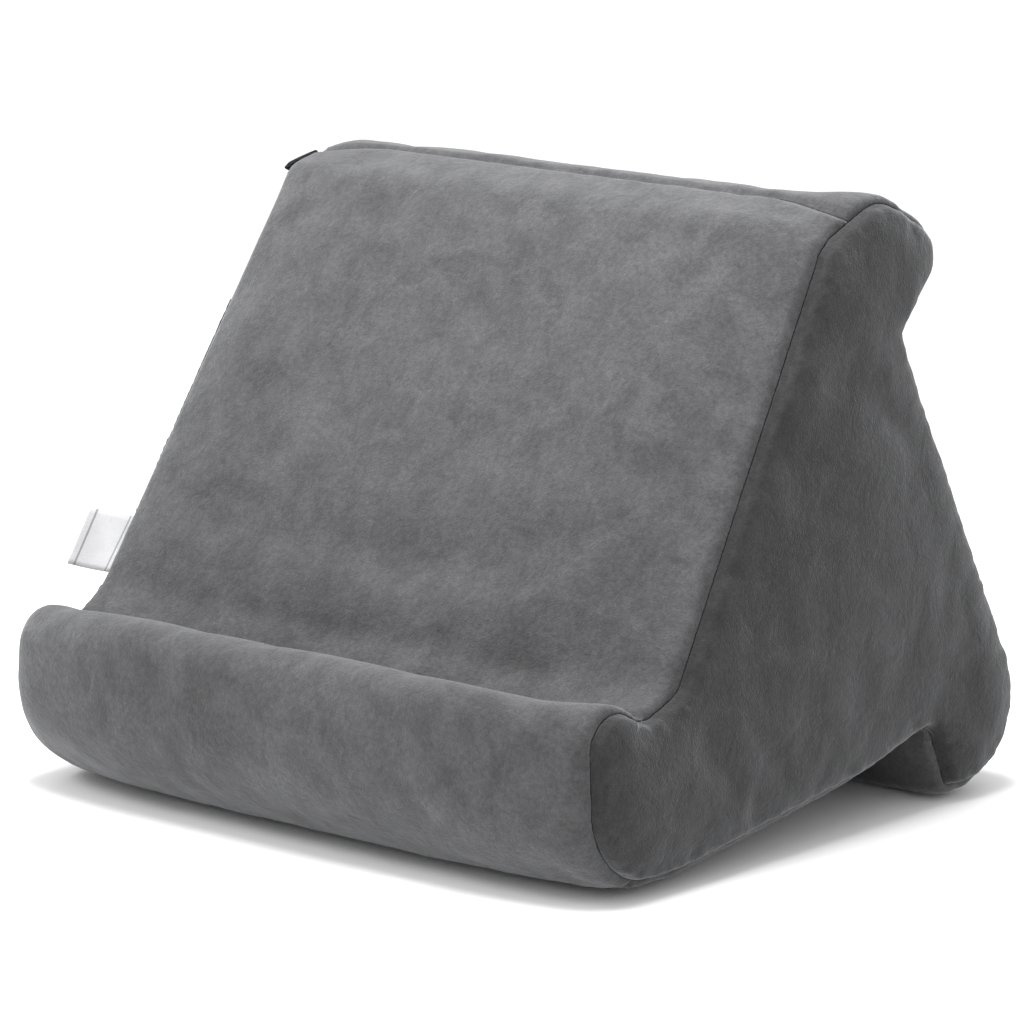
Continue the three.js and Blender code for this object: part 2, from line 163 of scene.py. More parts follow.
LEFT_PUCKER = 0.3  # share of it on the left half, whose seams are less gathered
PUCKER_REACH = 0.008
PUCKER_RISE = 0.002  # the gathers start this far from the seam
PUCKER_PITCH = 0.0065
CROSS_SEAMS = 10  # metres added along a cross seam, so that its gathers differ from a side seam's
PUCKER_STRETCH = 0.25  # across the seam a gather is longer, so this share of the distance counts
EDGE_GAP = 0.00022  # each panel's edge stops this far short of its seam
ALLOWANCE = 0.0026  # seam allowance turned inwards
CLOTH_THICK = 0.0012
LINER_INSET = 0.0052
LINER_THICK = 0.0004
LINER_WRINKLE = 0.0003
LINER_WRINKLE_PITCH = 0.03
LINER_SEED = 5.0
FOAM_INSET = 0.0064

# Zip, as in the CAD model unless a comment says otherwise
TAPE_EDGE = 0.0018  # from the zip's middle to a tape's inner edge
TAPE_END_EDGE = 0.0002  # the same past the coils' ends, where the tapes are sewn together
TAPE_SHORT = 0.0018  # the tapes end this far inside the side seams
TAPE_PARTING = (-0.001, 0.004)  # past a coil's end, where the tapes start and finish closing up
# Places across a tape as shares of its width, and how far the woven bead stands up there
TAPE_PROFILE = ((0, 0), (0.03, 0.00022), (0.08, 0.0001), (0.2, 0), (0.4, 0), (0.6, 0), (0.8, 0), (1, 0))
TAPE_WIDTH = 0.0122
TAPE_THICK = 0.0005
TAPE_OUT = -0.0022  # of a tape's face, from the cover's
COIL_WIDTH = 0.0026
COIL_HEIGHT = 0.0018
COIL_OUT = -0.0010
COIL_PITCH = 0.0014
COIL_WIRE = 0.00056
COIL_OVERLAP = 0.0005  # how far a loop reaches past the middle, between the other side's
COIL_STEPS = 12  # points in one turn
COIL_PARTED = 0.0018  # the coils stand apart by this at the end where the slider rests
COIL_PARTED_REACH = 0.009
METAL_EASE = 0.0002
METAL_SEGMENTS = 3
METAL_EDGE = 35  # degrees: a sharper edge is eased

# Threads
THREAD = 0.0005
STITCH_PITCH = 0.0034
THREAD_SIDES = 6
RING_START = (0.3, 0.5, 0.8)  # a direction no thread runs in, which places its first ring's points
STITCH_GAP = 0.24  # share of the pitch between two stitches
# Places along a stitch, and how far it stands out of the cloth there
STITCH_PROFILE = ((0, -0.0005), (0.12, 0), (0.35, 0.00012), (0.65, 0.00012), (0.88, 0), (1, -0.0005))
STITCH_SEARCH = 0.012  # the cloth is looked for from this far outside the stitches' line
HEM_STITCH = 0.0028  # from a hem's edge to its stitches
ROW_END = 0.004  # a row of stitches stops this far short of the end

# Net pocket
NET_CELL = 0.0018  # edge of one hexagon
NET_STRAND = 0.00100
NET_THICK = 0.0005
NET_LIFT = 0.0006
NET_SLACK = 0.0015  # it bags out by this, away from the seam and from the mouth
NET_SLACK_SIDE = 0.05  # over this distance from the seam
NET_SLACK_TOP = (0.008, 0.040)  # between these distances from the binding's middle
MOUTH_TURN = 0.25  # degrees between the directions tried, to find the mouth's
NET_TOP = 0.3  # it ends this share of the binding's half width above the binding's middle
NET_MARGIN = 0.0036  # the net's cut edge stays this far inside the seam
PAST_LEFT = 2 * cad_box[0][0]  # a plane past everything on the left, where rays start
BINDING_PROUD = 0.0004  # the binding's front end stands out of the seam by this
# The folded binding's section: places across its half width, and millimetres off the side panel
BINDING_OUTER = ((-1, 1.6), (-0.6, 1.9), (-0.2, 1.9), (0.2, 1.9), (0.6, 1.9), (0.93, 1.8), (1, 1.6))
BINDING_FOLD = ((1.03, 1.3), (1, 1.0), (0.93, 0.7))
BINDING_INNER = ((0.6, 0.5), (0.2, 0.5), (-0.2, 0.5), (-0.6, 0.5), (-1, 0.5))
BINDING_THICK = 0.00045
GATHER = 0.000245  # height of the gathers along the binding's outer side
GATHER_ABOVE = 1.0  # millimetres off the side panel, past which the section is gathered
GATHER_WAVE = 0.0021
GATHER_DRIFT = 0.02  # distance over which their height changes
GATHER_CHANGE = 0.714  # and the share of it that changes
BINDING_STITCH = 0.72  # how far below its middle the stitches run, as a share of its half width

# Label
LABEL_SHIFT = (0.0045, 0.0098)  # how far down the seam its lower and upper ends sit from the CAD's
LABEL_REACH = 0.0192  # how far it stands out of the seam
LABEL_GAP = 0.0006  # between its two layers
LABEL_FOLD = 0.15  # their distance from the label's middle at the fold, as a share of that gap
LABEL_THICK = 0.00025
LABEL_CURL = 0.0015
LABEL_HEM = 0.003  # how far it runs in behind the seam
LABEL_ROWS = 12
LABEL_SHARES = (0, 0.06, 0.12, 0.16, 0.3, 0.5, 0.7, 0.84, 0.88, 0.94, 0.985, 1)
LABEL_STRIPES = (2, 7)  # the gaps between those shares that are woven in grey
LABEL_WAVE = (0.0012, 2.6, 40)  # a slow ripple: its height, and radians outwards and per metre of rise

# Tones, as linear reflectance
PLUSH_TONE = 0.079
# The side panels are the same plush as the gusset, darkened partly for the pile's nap and partly as painted
# shade where the sides turn from the light.
SIDE_NAP_AND_PAINTED_SHADE_TONE = 0.035
COOL = 1.01  # a grey reflects this much more blue than red
WAVE_BANDS = 3.18  # bands that a wave texture of scale 1 draws in a metre

# Stage
FLOOR_REACH = 3
FLOOR_TONE = 0.96
WORLD_STRENGTH = 1.05
LIGHTS = {"key": ((-0.8, -0.75, 1.0), 5), "top": ((0.02, -0.08, 0.85), 10)}  # their places and watts
LIGHT_SIZE = 0.5
LIGHT_AIM = (0, 0, 0.1)

# Cloth simulation
SIM_FRAMES = 20
SIM_CAP = 0.0040  # no point moves further than this
CLOTH_SETTINGS = {
    "quality": 6,
    "mass": 0.2,
    "tension_stiffness": 20,
    "compression_stiffness": 20,
    "shear_stiffness": 8,
    "bending_stiffness": 0.4,
    "tension_damping": 15,
    "compression_damping": 15,
    "use_pressure": True,
    "uniform_pressure_force": 4.0,
    "pin_stiffness": 1.0,
}
SEAM_HOLD = 1.0  # how firmly the simulated cloth is held in place, at the seams and on the panels
PANEL_HOLD = 0.12
SEAM_SHRINK = 0.05  # share that the cloth shrinks by at a seam
PANEL_SLACK = -0.005  # and on a panel, which grows a little
NEAR_SEAM = 0.004  # the seams' hold and shrinking fade over this distance
SHIFT_SMOOTHING = 6
STIFF_AT_ZIP = (0.012, 0.034)  # the cloth keeps still this near the zip, and moves freely past this
SHIFT_NEIGHBOURS = 4  # coarse points that a fine one takes its shift from
SHIFT_BLUR = 0.0005  # added to their distances, so that none counts alone


# ---- small helpers ----


def mm(value):
    return value * 0.001


def smoothstep(x, low, high):
    t = np.clip((x - low) / (high - low), 0, 1)
    return t * t * (3 - 2 * t)


def dome(distance, reach):
    """Rises like a quarter circle from 0 at an edge to 1 at a reach from it."""
    t = 1 - np.clip(np.asarray(distance) / reach, 0, 1)
    return np.sqrt(1 - t * t)


def cross2(a, b):
    return a[..., 0] * b[..., 1] - a[..., 1] * b[..., 0]


def left_of(v):
    return np.stack([-v[..., 1], v[..., 0]], axis=-1)


def new_object(name, vertices, faces):
    mesh = bpy.data.meshes.new(name)
    mesh.from_pydata([tuple(v) for v in vertices], [], [tuple(f) for f in faces])
    mesh.update()
    made = bpy.data.objects.new(name, mesh)
    bpy.context.scene.collection.objects.link(made)
    return made


def shade_smooth(piece):
    piece.data.shade_smooth()
    return piece


def noise_at(points, pitch, seed=0.0):
    """Smooth noise from -1 to 1 at each point, with features about one pitch apart."""
    return np.array([noise.noise(Vector(p) / pitch + Vector((seed, 0, 0))) for p in points])


# ---- the outline, read off the frame ----


def outline_loop(node):
    """The (y, z) points round the right side panel's outer face, anticlockwise seen from +X."""
    bm = bmesh.new()
    bm.from_mesh(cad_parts[node].data)
    bmesh.ops.remove_doubles(bm, verts=bm.verts, dist=WELD)
    bm.normal_update()
    cap = {face for face in bm.faces if face.normal.x > CAP_NORMAL}
    following = {}
    for face in cap:
        for loop in face.loops:
            if sum(other in cap for other in loop.edge.link_faces) == 1:
                following[loop.vert] = loop.link_loop_next.vert
    vert = next(iter(following))
    points = []
    for _ in following:
        points.append((vert.co.y, vert.co.z))
        vert = following[vert]
    bm.free()
    return np.array(points)


def straight_edges(points):
    """(start, end) of each long straight stretch of a closed line of points."""
    steps = np.roll(points, -1, 0) - points
    heading = np.arctan2(steps[:, 1], steps[:, 0])
    turns = np.angle(np.exp(1j * (heading - np.roll(heading, 1))))
    breaks = np.flatnonzero(np.abs(turns) > math.radians(ARC_TURN))
    edges = []
    for first, last in zip(breaks, np.roll(breaks, -1)):
        if np.linalg.norm(points[last] - points[first]) > SHORTEST_EDGE:
            edges.append((points[first], points[last]))
    return edges


def sharp_corners(edges):
    """Where neighbouring straight edges would meet, and the radius that rounds each corner."""
    corners, radii = [], []
    for (a0, a1), (b0, b1) in zip(edges[-1:] + edges[:-1], edges):
        da, db = (a1 - a0) / np.linalg.norm(a1 - a0), (b1 - b0) / np.linalg.norm(b1 - b0)
        corner = a0 + da * cross2(b0 - a0, db) / cross2(da, db)
        turn = math.atan2(cross2(da, db), da @ db)
        corners.append(corner)
        radii.append(np.linalg.norm(corner - b0) / math.tan(abs(turn) / 2))
    first = int(np.argmin([c[0] + c[1] for c in corners]))
    return np.roll(corners, -first, 0), np.roll(radii, -first)


class Section:
    """A closed outline of straight edges joined by arcs."""

    def __init__(self, corners, radii):
        ahead = np.roll(corners, -1, 0) - corners
        self.out = ahead / np.linalg.norm(ahead, axis=1, keepdims=True)
        into = np.roll(self.out, 1, 0)
        self.turn = np.arctan2(cross2(into, self.out), (into * self.out).sum(1))
        self.radii = np.asarray(radii)
        tangent = (self.radii * np.tan(np.abs(self.turn) / 2))[:, None]
        self.start = corners - into * tangent
        self.end = corners + self.out * tangent
        self.side = np.sign(self.turn)
        self.centre = self.start + left_of(into) * (self.side * self.radii)[:, None]

    def lengths(self):
        """The lengths of arc, edge, arc, edge and so on."""
        edges = np.linalg.norm(np.roll(self.start, -1, 0) - self.end, axis=1)
        return np.stack([self.radii * np.abs(self.turn), edges], axis=1).ravel()

    def at(self, pieces, parts):
        """Points part way along the numbered pieces."""
        corner, on_edge = pieces // 2, (pieces % 2 == 1)[:, None]
        angle = self.turn[corner] * parts
        spoke = self.start[corner] - self.centre[corner]
        cos, sin = np.cos(angle), np.sin(angle)
        turned = np.stack(
            [spoke[:, 0] * cos - spoke[:, 1] * sin, spoke[:, 0] * sin + spoke[:, 1] * cos], axis=1
        )
        following = self.start[(corner + 1) % len(self.start)]
        straight = self.end[corner] + (following - self.end[corner]) * parts[:, None]
        return np.where(on_edge, straight, self.centre[corner] + turned)


loop = outline_loop("side_panel_right")
mid_corners, mid_radii = sharp_corners(straight_edges(loop))
mid_section = Section(mid_corners, mid_radii)
piece_ends = np.concatenate([[0], np.cumsum(mid_section.lengths())])
PERIMETER = piece_ends[-1]
settled_corners = mid_corners + mm(np.array([SETTLED.get(corner, (0, 0)) for corner in CORNERS]))


def seam_corners(shifts):
    """The corners and radii of a side's seam, from how it lies against the CAD corners."""
    table = mm(np.array(list(shifts.values())))
    return mid_corners + table[:, :2], table[:, 2]


rims = {RIGHT: seam_corners(RIM), LEFT: seam_corners(LEFT_RIM)}


def located(s):
    """The outline piece that each arc length along the middle section falls on, and how far along."""
    s = np.mod(s, PERIMETER)
    pieces = np.clip(np.searchsorted(piece_ends, s, side="right") - 1, 0, len(piece_ends) - 2)
    return pieces, (s - piece_ends[pieces]) / (piece_ends[pieces + 1] - piece_ends[pieces])


def drawn_in(corners, radii, inset):
    """An outline's corners and radii moved inwards, or outwards by a negative inset."""
    ahead = np.roll(corners, -1, 0) - corners
    ahead /= np.linalg.norm(ahead, axis=1, keepdims=True)
    into = np.roll(ahead, 1, 0)
    bends = np.sign(cross2(into, ahead))
    bisector = left_of(into) + left_of(ahead)
    corners = corners + bisector * 2 * inset / (bisector**2).sum(1, keepdims=True)
    return corners, np.maximum(radii - bends * inset, LEAST_RADIUS)


def section_at(distance, side=RIGHT, inset=0.0):
    """The gusset's section this far in from a side seam, drawn in by an inset."""
    end_corners, end_radii = drawn_in(*rims[side], -GUSSET_CROWN)
    near = max(0.0, 1 - distance / END_REACH) ** 2
    corners = settled_corners + (end_corners - settled_corners) * near
    radii = mid_radii + (end_radii - mid_radii) * near
    sunk = GUSSET_CROWN * (1 - float(dome(distance, CROWN_REACH)))
    return Section(*drawn_in(corners, radii, sunk + inset))


def rim_line(count, side=RIGHT, inset=0.0):
    """Points round a side seam, evenly spread along the middle outline."""
    return section_at(0, side, inset).at(*located(np.linspace(0, PERIMETER, count, endpoint=False)))


def arc_length_of(points):
    """Arc lengths along the middle outline of points that lie on it, and their distances from it."""
    dense = np.linspace(0, PERIMETER, OUTLINE_POINTS, endpoint=False)
    line = mid_section.at(*located(dense))
    gaps = np.linalg.norm(points[:, None] - line[None], axis=2)
    return dense[gaps.argmin(1)], gaps.min(1)


def node_points(node):
    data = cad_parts[node].data
    points = np.zeros(len(data.vertices) * 3)
    data.vertices.foreach_get("co", points)
    return points.reshape(-1, 3)


def panel_span(node):
    """Where a gusset panel starts and ends along the outline."""
    s, gap = arc_length_of(np.unique(node_points(node)[:, 1:].round(DECIMALS), axis=0))
    s = np.sort(s[gap < ON_OUTLINE])
    spaces = np.append(s[1:], s[0] + PERIMETER) - s
    widest = int(spaces.argmax())
    return s[(widest + 1) % len(s)], s[widest]


spans = {name: panel_span(name) for name in GUSSET_PANELS}


def joint_between(before, after):
    """The arc length of the seam between two neighbouring panels."""
    gap = (spans[after][0] - spans[before][1]) % PERIMETER
    return (spans[before][1] + gap / 2) % PERIMETER


bands = {}  # each gusset strip's start and end, the zip's band among them
for place, name in enumerate(GUSSET_PANELS):
    before, after = GUSSET_PANELS[place - 1], GUSSET_PANELS[(place + 1) % len(GUSSET_PANELS)]
    start = spans[name][0] if name == "back_panel" else joint_between(before, name)
    end = spans[name][1] if name == "foot_panel" else joint_between(name, after)
    bands[name] = (start, end)
bands[ZIP_BAND] = (bands["foot_panel"][1], bands["back_panel"][0])
TOP_SEAM = bands["front_rest_panel"][0] - TOP_SEAM_RISE
bands["top_roll_panel"] = (bands["top_roll_panel"][0], TOP_SEAM)
bands["front_rest_panel"] = (TOP_SEAM, bands["front_rest_panel"][1])
seam_places = np.array(sorted(start for start, _ in bands.values()))

left_box, right_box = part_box("side_panel_left"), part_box("side_panel_right")
MIDDLE_X = (left_box[0].x + right_box[1].x) / 2
side_points = node_points("side_panel_right")
outer = side_points[side_points[:, 0] > MIDDLE_X]
lowest_outer = outer[outer[:, 2] < outer[:, 2].min() + END_BAND][:, 0].max()
highest_outer = outer[outer[:, 2] > outer[:, 2].max() - END_BAND][:, 0].max()
HEIGHT = outer[:, 2].max()


def seam_reach(z, side=RIGHT):
    """How far out from the middle plane a side's seam lies at a height."""
    outside = lowest_outer + (highest_outer - lowest_outer) * np.asarray(z) / HEIGHT
    reach = outside - MIDDLE_X - SEAM_INSET
    if side == LEFT:
        reach = reach + np.interp(z, FLARE_HEIGHTS, LEFT_FLARE)
    return reach


HALF_WIDTH = float(seam_reach(0.0))


# ---- the cover's surface as one closed mesh ----


class Hull:
    """Points and faces of the whole cover: the gusset as a grid, then each side's inner points."""


def spaced(length, spacing, closed):
    count = max(2, round(length / spacing))
    return np.linspace(0, length, count if closed else count + 1, endpoint=not closed)


def merged(regular, special, clearance, period=None):
    """Special places, with the regular ones that aren't close to any of them."""
    gaps = np.abs(regular[:, None] - special[None])
    if period:
        gaps = np.minimum(gaps, period - gaps)
    return np.unique(np.concatenate([regular[gaps.min(1) > clearance], special]).round(DECIMALS))


def row_places(spacing, graded):
    offsets = np.array(sorted({sign * step for step in graded for sign in (-1, 1)}))
    special = np.mod(seam_places[:, None] + offsets[None], PERIMETER).ravel()
    return merged(spaced(PERIMETER, spacing, True), special, spacing * CLEARANCE, PERIMETER)


def column_places(spacing, graded):
    """Distances from the middle plane as shares of the half width, from -1 to 1."""
    distance = merged(spaced(HALF_WIDTH, spacing, False), np.array(graded), spacing * CLEARANCE)
    share = 1 - distance / HALF_WIDTH
    return np.concatenate([-share, share[::-1][1:]])


def gusset_grid(rows, columns, inset=0.0):
    """The gusset's points, shaped (rows, columns, 3), before any simulation."""
    follows = np.exp(-(((rows - TOP_SEAM) / TOP_SEAM_SWAY) ** 2))
    grid = np.zeros((len(rows), len(columns), 3))
    for i, share in enumerate(columns):
        side = RIGHT if share > 0 else LEFT
        distance = (1 - abs(share)) * HALF_WIDTH
        dropped = TOP_SEAM_DROP * (1 - smoothstep(distance, 0.0, TOP_SEAM_CURVE))
        outline = section_at(distance, side, inset).at(*located(rows + follows * dropped))
        grid[:, i, 1:] = outline
        grid[:, i, 0] = MIDDLE_X + share * (seam_reach(outline[:, 1], side) - inset)
    return grid


def distance_to_line(points, line):
    """Distance from each 2-D point to a closed line, and the index of the nearest segment."""
    start, step = line, np.roll(line, -1, 0) - line
    best, nearest = np.full(len(points), np.inf), np.zeros(len(points), int)
    for block in np.array_split(np.arange(len(points)), max(1, len(points) // BLOCK)):
        offset = points[block, None] - start[None]
        part = np.clip((offset * step).sum(2) / (step * step).sum(1), 0, 1)
        gap = np.linalg.norm(offset - part[..., None] * step, axis=2)
        best[block], nearest[block] = gap.min(1), gap.argmin(1)
    return best, nearest


def inside_line(points, line):
    a, b = line, np.roll(line, -1, 0)
    y, z = points[:, 0, None], points[:, 1, None]
    spans_z = (a[:, 1] > z) != (b[:, 1] > z)
    with np.errstate(divide="ignore", invalid="ignore"):
        crossing = a[:, 0] + (z - a[:, 1]) * (b[:, 0] - a[:, 0]) / (b[:, 1] - a[:, 1])
    return (spans_z & (y < crossing)).sum(1) % 2 == 1


def side_fill(rim, spacing, graded):
    """Inner (y, z) points of a side panel, and triangles that number the rim's points first."""
    inward = left_of(np.roll(rim, -1, 0) - np.roll(rim, 1, 0))
    inward /= np.linalg.norm(inward, axis=1, keepdims=True)
    low, high = rim.min(0), rim.max(0)
    columns = np.arange(low[0], high[0], spacing)
    levels = np.arange(low[1], high[1], spacing * math.sqrt(0.75))
    lattice = np.array([(y + spacing / 2 * (i % 2), z) for i, z in enumerate(levels) for y in columns])
    sets = [(rim + inward * step, step * CLEARANCE_RING) for step in graded[1:]]
    kept = []
    for points, least in sets + [(lattice, graded[-1] + spacing * CLEARANCE_INSIDE)]:
        points = points[inside_line(points, rim)]
        kept.append(points[distance_to_line(points, rim)[0] > least])
    inner = np.concatenate(kept)
    points = np.concatenate([rim, inner])
    border = [(i, (i + 1) % len(rim)) for i in range(len(rim))]
    out = geometry.delaunay_2d_cdt([Vector(p) for p in points], border, [], 1, SAME_PLACE)
    source = [origins[0] if origins else -1 for origins in out[3]]
    faces = [tuple(source[i] for i in face) for face in out[2]]
    return inner, [face for face in faces if min(face) >= 0]


def smoothed(values, edges, rounds, fixed=None):
    """Values spread out over neighbouring points; fixed points keep theirs."""
    count = np.maximum(np.bincount(edges.ravel(), minlength=len(values)), 1)[:, None]
    pull = SMOOTHING_SHARE * (1 if fixed is None else (~fixed)[:, None])
    for _ in range(rounds):
        total = np.zeros_like(values)
        np.add.at(total, edges[:, 0], values[edges[:, 1]])
        np.add.at(total, edges[:, 1], values[edges[:, 0]])
        values = values + pull * (total / count - values)
    return values


def edges_of(faces):
    pairs = {tuple(sorted(pair)) for face in faces for pair in zip(face, face[1:] + face[:1])}
    return np.array(sorted(pairs))


def build_hull(spacing, graded, inset=0.0):
    """The closed cover. Each point knows its distance to the nearest seam and its place along it."""
    hull = Hull()
    hull.rows, hull.columns = row_places(spacing, graded), column_places(spacing, graded)
    grid = gusset_grid(hull.rows, hull.columns, inset)
    hull.shape = grid.shape[:2]
    row_count, column_count = hull.shape
    to_rim = np.repeat(((1 - np.abs(hull.columns)) * HALF_WIDTH)[None], row_count, 0)
    gap = np.abs(hull.rows[:, None] - seam_places[None])
    to_cross = np.minimum(gap, PERIMETER - gap).min(1)
    across = np.where(to_rim < to_cross[:, None], hull.rows[:, None], grid[:, :, 0] + CROSS_SEAMS)
    points, along = [grid.reshape(-1, 3)], [across.ravel()]
    seam = [np.minimum(to_rim, to_cross[:, None]).ravel()]
    index = np.arange(row_count * column_count).reshape(row_count, column_count)
    faces, owners = [], []
    for i in range(row_count):
        after = (i + 1) % row_count
        place = (hull.rows[i] + ((hull.rows[after] - hull.rows[i]) % PERIMETER) / 2) % PERIMETER
        owner = next(n for n, (s, e) in bands.items() if (place - s) % PERIMETER < (e - s) % PERIMETER)
        for j in range(column_count - 1):
            faces.append((index[i, j], index[after, j], index[after, j + 1], index[i, j + 1]))
            owners.append(owner)
    hull.side_start = {}
    for name, column, side in SIDES:
        rim = grid[:, column, 1:]
        inner, triangles = side_fill(rim, spacing, graded)
        gap, nearest = distance_to_line(inner, rim)
        start = sum(len(p) for p in points)
        hull.side_start[name] = (start, start + len(inner))
        if side == RIGHT:
            crown = SIDE_CROWN * dome(gap, SIDE_REACH) + SIDE_ROLL * dome(gap, SIDE_ROLL_REACH)
        else:
            crown = LEFT_CROWN * (1 - np.exp(-gap / LEFT_CROWN_REACH))
        crown = np.concatenate([np.zeros(row_count), crown])[:, None]
        rim_fixed = np.arange(len(crown)) < row_count
        crown = smoothed(crown, edges_of(triangles), CROWN_SMOOTHING, rim_fixed)[row_count:, 0]
        x = MIDDLE_X + side * (seam_reach(inner[:, 1], side) - inset + crown)
        points.append(np.column_stack([x, inner]))
        seam.append(gap)
        along.append(hull.rows[nearest])
        number = np.concatenate([index[:, column], np.arange(start, start + len(inner))])
        for face in triangles:
            corners = tuple(int(number[k]) for k in face)
            faces.append(corners if side == RIGHT else corners[::-1])
            owners.append(name)
    hull.points = np.concatenate(points)
    hull.seam, hull.along = np.concatenate(seam), np.concatenate(along)
    hull.faces = [tuple(int(k) for k in face) for face in faces]
    hull.owners = np.array(owners)
    hull.index = index
    return hull


def vertex_normals(points, faces):
    made = new_object("normals_of", points, faces)
    normals = np.zeros(len(points) * 3)
    made.data.vertex_normals.foreach_get("vector", normals)
    bpy.data.objects.remove(made)
    return normals.reshape(-1, 3)


# ---- the cloth simulation ----


def simulated_shift(hull):
    """How far the pressed-out cloth moves each point of the hull."""
    body = new_object("puff", hull.points, hull.faces)
    hold = body.vertex_groups.new(name="hold")
    seam = body.vertex_groups.new(name="seam")
    near_seam = np.exp(-((hull.seam / NEAR_SEAM) ** 2))
    for i, near in enumerate(near_seam):
        hold.add([i], float(PANEL_HOLD + (SEAM_HOLD - PANEL_HOLD) * near), "REPLACE")
        seam.add([i], float(near), "REPLACE")
    cloth = body.modifiers.new("Cloth", "CLOTH")
    settings = cloth.settings
    for key, value in CLOTH_SETTINGS.items():
        setattr(settings, key, value)
    settings.vertex_group_mass, settings.vertex_group_shrink = "hold", "seam"
    settings.shrink_min, settings.shrink_max = PANEL_SLACK, SEAM_SHRINK
    settings.effector_weights.gravity = 0
    cloth.collision_settings.use_collision = False
    cloth.point_cache.frame_start, cloth.point_cache.frame_end = 1, SIM_FRAMES
    scene = bpy.context.scene
    for number in range(1, SIM_FRAMES + 1):
        scene.frame_set(number)
    solved = body.evaluated_get(bpy.context.evaluated_depsgraph_get()).data
    moved = np.zeros(len(hull.points) * 3)
    solved.vertices.foreach_get("co", moved)
    shift = moved.reshape(-1, 3) - hull.points
    bpy.data.objects.remove(body)
    scene.frame_set(1)
    length = np.linalg.norm(shift, axis=1, keepdims=True)
    return shift * (SIM_CAP / np.maximum(length, SIM_CAP))


def resampled(values, old, new):
    """Values that lie at old places along their first axis, interpolated to new places."""
    columns = values.reshape(len(values), -1).T
    made = np.stack([np.interp(new, old, column) for column in columns], axis=1)
    return made.reshape(len(new), *values.shape[1:])


def carried_over(shift, coarse, fine):
    """The coarse hull's shift at each point of the fine hull."""
    grid = shift[: coarse.index.size].reshape(*coarse.shape, 3)
    rows = np.concatenate([coarse.rows - PERIMETER, coarse.rows, coarse.rows + PERIMETER])
    grid = resampled(np.concatenate([grid] * 3), rows, fine.rows)
    grid = resampled(grid.swapaxes(0, 1), coarse.columns, fine.columns).swapaxes(0, 1)
    moved = np.zeros_like(fine.points)
    moved[: fine.index.size] = grid.reshape(-1, 3)
    for name, column, _ in SIDES:
        first, last = coarse.side_start[name]
        members = np.concatenate([coarse.index[:, column], np.arange(first, last)])
        tree = kdtree.KDTree(len(members))
        for i, member in enumerate(members):
            tree.insert((0, *coarse.points[member, 1:]), i)
        tree.balance()
        for i in range(*fine.side_start[name]):
            found = tree.find_n((0, *fine.points[i, 1:]), SHIFT_NEIGHBOURS)
            weights = np.array([1 / (gap + SHIFT_BLUR) ** 2 for _, _, gap in found])
            near = shift[members[[k for _, k, _ in found]]]
            moved[i] = weights @ near / weights.sum()
    return moved


# ---- the cover's panels ----


def cover_points(hull):
    """The finished surface: simulated, sunk at the seams, puckered beside them and flat on the floor."""
    moved = hull.points.copy()
    edges = edges_of(hull.faces)
    coarse = build_hull(COARSE, (0.0,))
    shift = carried_over(simulated_shift(coarse), coarse, hull)
    from_zip = np.linalg.norm(hull.points[:, 1:] - zip_place(MIDDLE_X)[1:], axis=1)
    shift *= smoothstep(from_zip, *STIFF_AT_ZIP)[:, None]
    moved += smoothed(shift, edges, SHIFT_SMOOTHING)
    normals = vertex_normals(moved, hull.faces)
    groove = -SEAM_DEPTH * np.exp(-((hull.seam / SEAM_WIDTH) ** 2))
    place = np.column_stack([hull.along, hull.seam * PUCKER_STRETCH, 0 * hull.seam])
    fade = np.exp(-hull.seam / PUCKER_REACH) * smoothstep(hull.seam, 0.0, PUCKER_RISE)
    gathered = np.where(hull.points[:, 0] < MIDDLE_X, LEFT_PUCKER, 1.0)
    moved += normals * (groove + PUCKER * gathered * noise_at(place, PUCKER_PITCH) * fade)[:, None]
    moved[:, 2] = np.maximum(moved[:, 2], 0.0)
    return moved


def cloth_piece(name, hull, points, normals, owners, thickness, turn_in=0.0):
    """The faces of some panels as one sheet, its free edges turned inwards as seam allowances."""
    faces = [face for face, owner in zip(hull.faces, hull.owners) if owner in owners]
    used = sorted({k for face in faces for k in face})
    number = {k: i for i, k in enumerate(used)}
    piece = new_object(name, points[used], [[number[k] for k in face] for face in faces])
    bm = bmesh.new()
    bm.from_mesh(piece.data)
    bm.verts.ensure_lookup_table()
    border = [edge for edge in bm.edges if edge.is_boundary]
    rim = sorted({vert for edge in border for vert in edge.verts}, key=lambda vert: vert.index)
    step = {}
    for vert in rim:
        inner = [edge.other_vert(vert).co for edge in vert.link_edges if not edge.is_boundary]
        if inner:
            step[vert] = (sum(inner, Vector()) / len(inner) - vert.co).normalized() * EDGE_GAP
    for vert, back in step.items():
        vert.co += back
    if turn_in:
        turned = {v: bm.verts.new(v.co - Vector(normals[used[v.index]]) * turn_in) for v in rim}
        for edge in border:
            corner = edge.link_loops[0]
            a, b = corner.vert, corner.link_loop_next.vert
            bm.faces.new((b, a, turned[a], turned[b]))
    bm.to_mesh(piece.data)
    bm.free()
    return thicken(piece, thickness, -1)


def thicken(piece, thickness, offset):
    modifier = piece.modifiers.new("Cloth thickness", "SOLIDIFY")
    modifier.thickness = thickness
    modifier.offset = offset
    return shade_smooth(piece)


def belongs(piece, material, slot, *nodes, body="pillow"):
    """The piece rides on its body, has its material and stands for its CAD nodes."""
    piece.data.materials.append(material)
    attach(piece, body)
    if nodes:
        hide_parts(*nodes)
    return piece


def declare_panel(name):
    """Does nothing for a gusset panel; for a side panel it works out points round the right seam and leaves
    them unused.
    """
    if name in bands:
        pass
    else:
        rim = rim_line(SIZE_POINTS)


